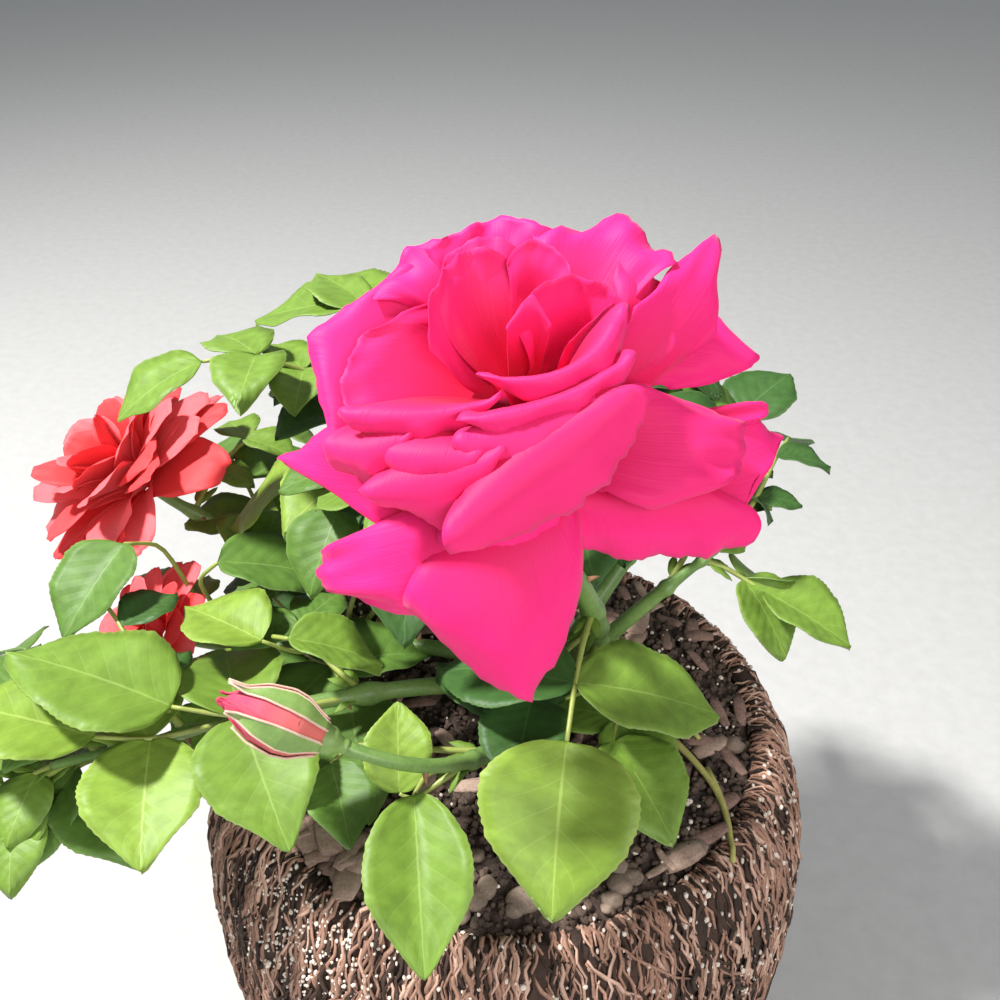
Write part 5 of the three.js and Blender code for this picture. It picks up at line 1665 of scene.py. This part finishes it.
# Their second colours are painted shade at the petals' feet.
RED = petal_material(
    "petal_red", (0.82, 0.055, 0.060), (0.62, 0.014, 0.014), (0.60, 0.04, 0.05), (0.05, 0, 0))
CORAL = petal_material(
    "petal_coral", (0.88, 0.125, 0.140), (0.74, 0.050, 0.050), (0.68, 0.07, 0.09), (0.05, 0, 0))
for side, table, seed in (("upper", UPPER_WHORLS, 300), ("lower", LOWER_WHORLS, 500)):
    parts = whorls(f"{side}_left", table, seed)
    for first, (colour, finish) in enumerate((("red", RED), ("coral", CORAL))):
        make_piece(
            f"{side}_petals_{colour}", parts[first::2], finish, [f"{side}_red_bloom"], uv=True)

# %% [markdown]
# The bud has a green hip, folded petals wound about its axis and five long sepals that hug them. All of
# these lie on one profile, so each is laid on it by an angle and a height, like a label on a bottle. The
# sepals' pale margins are thin tubes along their sides.

# %% Bud shapes
BUD_PROFILE = [(0.4, 0), (2.6, 0.5), (4.6, 3), (5.2, 7), (6.4, 10), (8.8, 15), (9.4, 20), (7.8, 28),
               (4.2, 35), (1.2, 39)]
BUD_SKIN, BUD_FLARE, BUD_OPEN, BUD_RIPPLE = 0.4, 0.7, 0.5, 0.2
SEPAL_HALF, SEPAL_FOOT, SEPAL_LENGTH, SEPAL_TURN = 18, 6.5, 31, 10
SEPAL_LONGER, SEPAL_LIFT, SEPAL_OVER, SEPAL_THICK = (0.86, 0.24), (0.3, 2.6), 1.1, 0.5
SEPAL_ROOM, SEPAL_CUP, MARGIN_RADIUS = 4.6, 0.9, 0.42


def bud_radius(z):
    return np.interp(z, [row[1] for row in BUD_PROFILE], [row[0] for row in BUD_PROFILE])


def wound_petal(turn, low, high, wide, lead, seed):
    """A petal laid on the bud, its free edge running up and round."""
    u, v = PETAL_GRID["u"], PETAL_GRID["v"]
    z = low + (high - low) * v * (1 - 0.12 * np.abs(u) ** 3)
    angle = np.radians(turn + wide * u * (1 - 0.35 * v) + lead * v)
    flare = BUD_FLARE * smooth((u - 0.55) / 0.45) * v + BUD_OPEN * v * v
    radius = bud_radius(z) + 0.3 + flare + BUD_RIPPLE * np.sin(9 * u + seed)
    layers = [round_axis(radius - skin, angle, z) for skin in (0, BUD_SKIN)]
    return np.concatenate(layers), PETAL_GRID["faces"], PETAL_GRID["map"]


def sepal(turn, seed):
    """A sepal on the bud, and the pale margins along its two sides."""
    u, v = PETAL_GRID["u"], PETAL_GRID["v"]
    half = SEPAL_HALF * np.sin(math.pi * np.clip(0.2 + 0.78 * v, 0, 1)) ** 0.9 + 4 * (1 - v)
    z = SEPAL_FOOT + SEPAL_LENGTH * v * stray((seed, 1), *SEPAL_LONGER)
    angle = np.radians(turn + half * u + SEPAL_TURN * v)
    lifted = stray((seed, 2), *SEPAL_LIFT) * v ** 2.5 + SEPAL_CUP * u * u * v
    radius = np.maximum(bud_radius(z), SEPAL_ROOM) + SEPAL_OVER + lifted
    margins = []
    for side in (-1, 1):
        rim = np.where(np.abs(u - side) < 0.01)[0]
        rim = rim[np.argsort(v[rim])]
        line = round_axis(radius - 0.2, angle, z)[rim]
        margins.append(tube(line, np.full(len(rim), MARGIN_RADIUS), 6))
    layers = [round_axis(radius - skin, angle, z) for skin in (0, SEPAL_THICK)]
    return (np.concatenate(layers), PETAL_GRID["faces"]), margins


print("bud's greatest radius", bud_radius(np.arange(39)).max())

# %% [markdown]
# The bud's petals are duller than the open bloom's, and its sepals are green with cream margins. Five outer
# petals wind round it, and three more show at its tip.

# %% Bud
BUD_COLLAR, HIP_SHRUNK, HIP_SIDES = 2.5, 0.98, 20
BUD_SEPALS, FIRST_SEPAL = 5, 700
BUD_PINK = petal_material(
    "bud_pink", (0.55, 0.055, 0.12), (0.58, 0.14, 0.12), (0.50, 0.05, 0.10), (0.03, 0, 0))
BUD_CREAM = mottled("bud_cream", (0.62, 0.50, 0.36), (0.60, 0.36, 0.28), 0.5)
SEPAL_GREEN = mottled("sepal_green", (0.22, 0.34, 0.09), (0.15, 0.26, 0.06), 0.5, 0.3)

rings = np.linspace(-2, 12, 17)
hip = tube(rings[:, None] * UP, np.maximum(bud_radius(rings) * HIP_SHRUNK, BUD_COLLAR), HIP_SIDES)
petals = [wound_petal(72 * i + 10, 7, 40 - 1.2 * (i % 3), 62, 40, i) for i in range(5)]
petals += [wound_petal(120 * i, 16, 41.5, 50, 60, 7 + i) for i in range(3)]
sepals = [sepal(72 * i - 6, FIRST_SEPAL + i) for i in range(BUD_SEPALS)]
green = [hip] + [blade for blade, margins in sepals]
pale = [margin for blade, margins in sepals for margin in margins]
for name, parts, finish in (("bud_petals", petals, BUD_PINK), ("bud_sepals", green, SEPAL_GREEN),
                            ("sepal_margins", pale, BUD_CREAM)):
    parts = [to_bloom("bud", part) for part in parts]
    make_piece(name, parts, finish, ["rose_bud"], uv=finish is BUD_PINK)
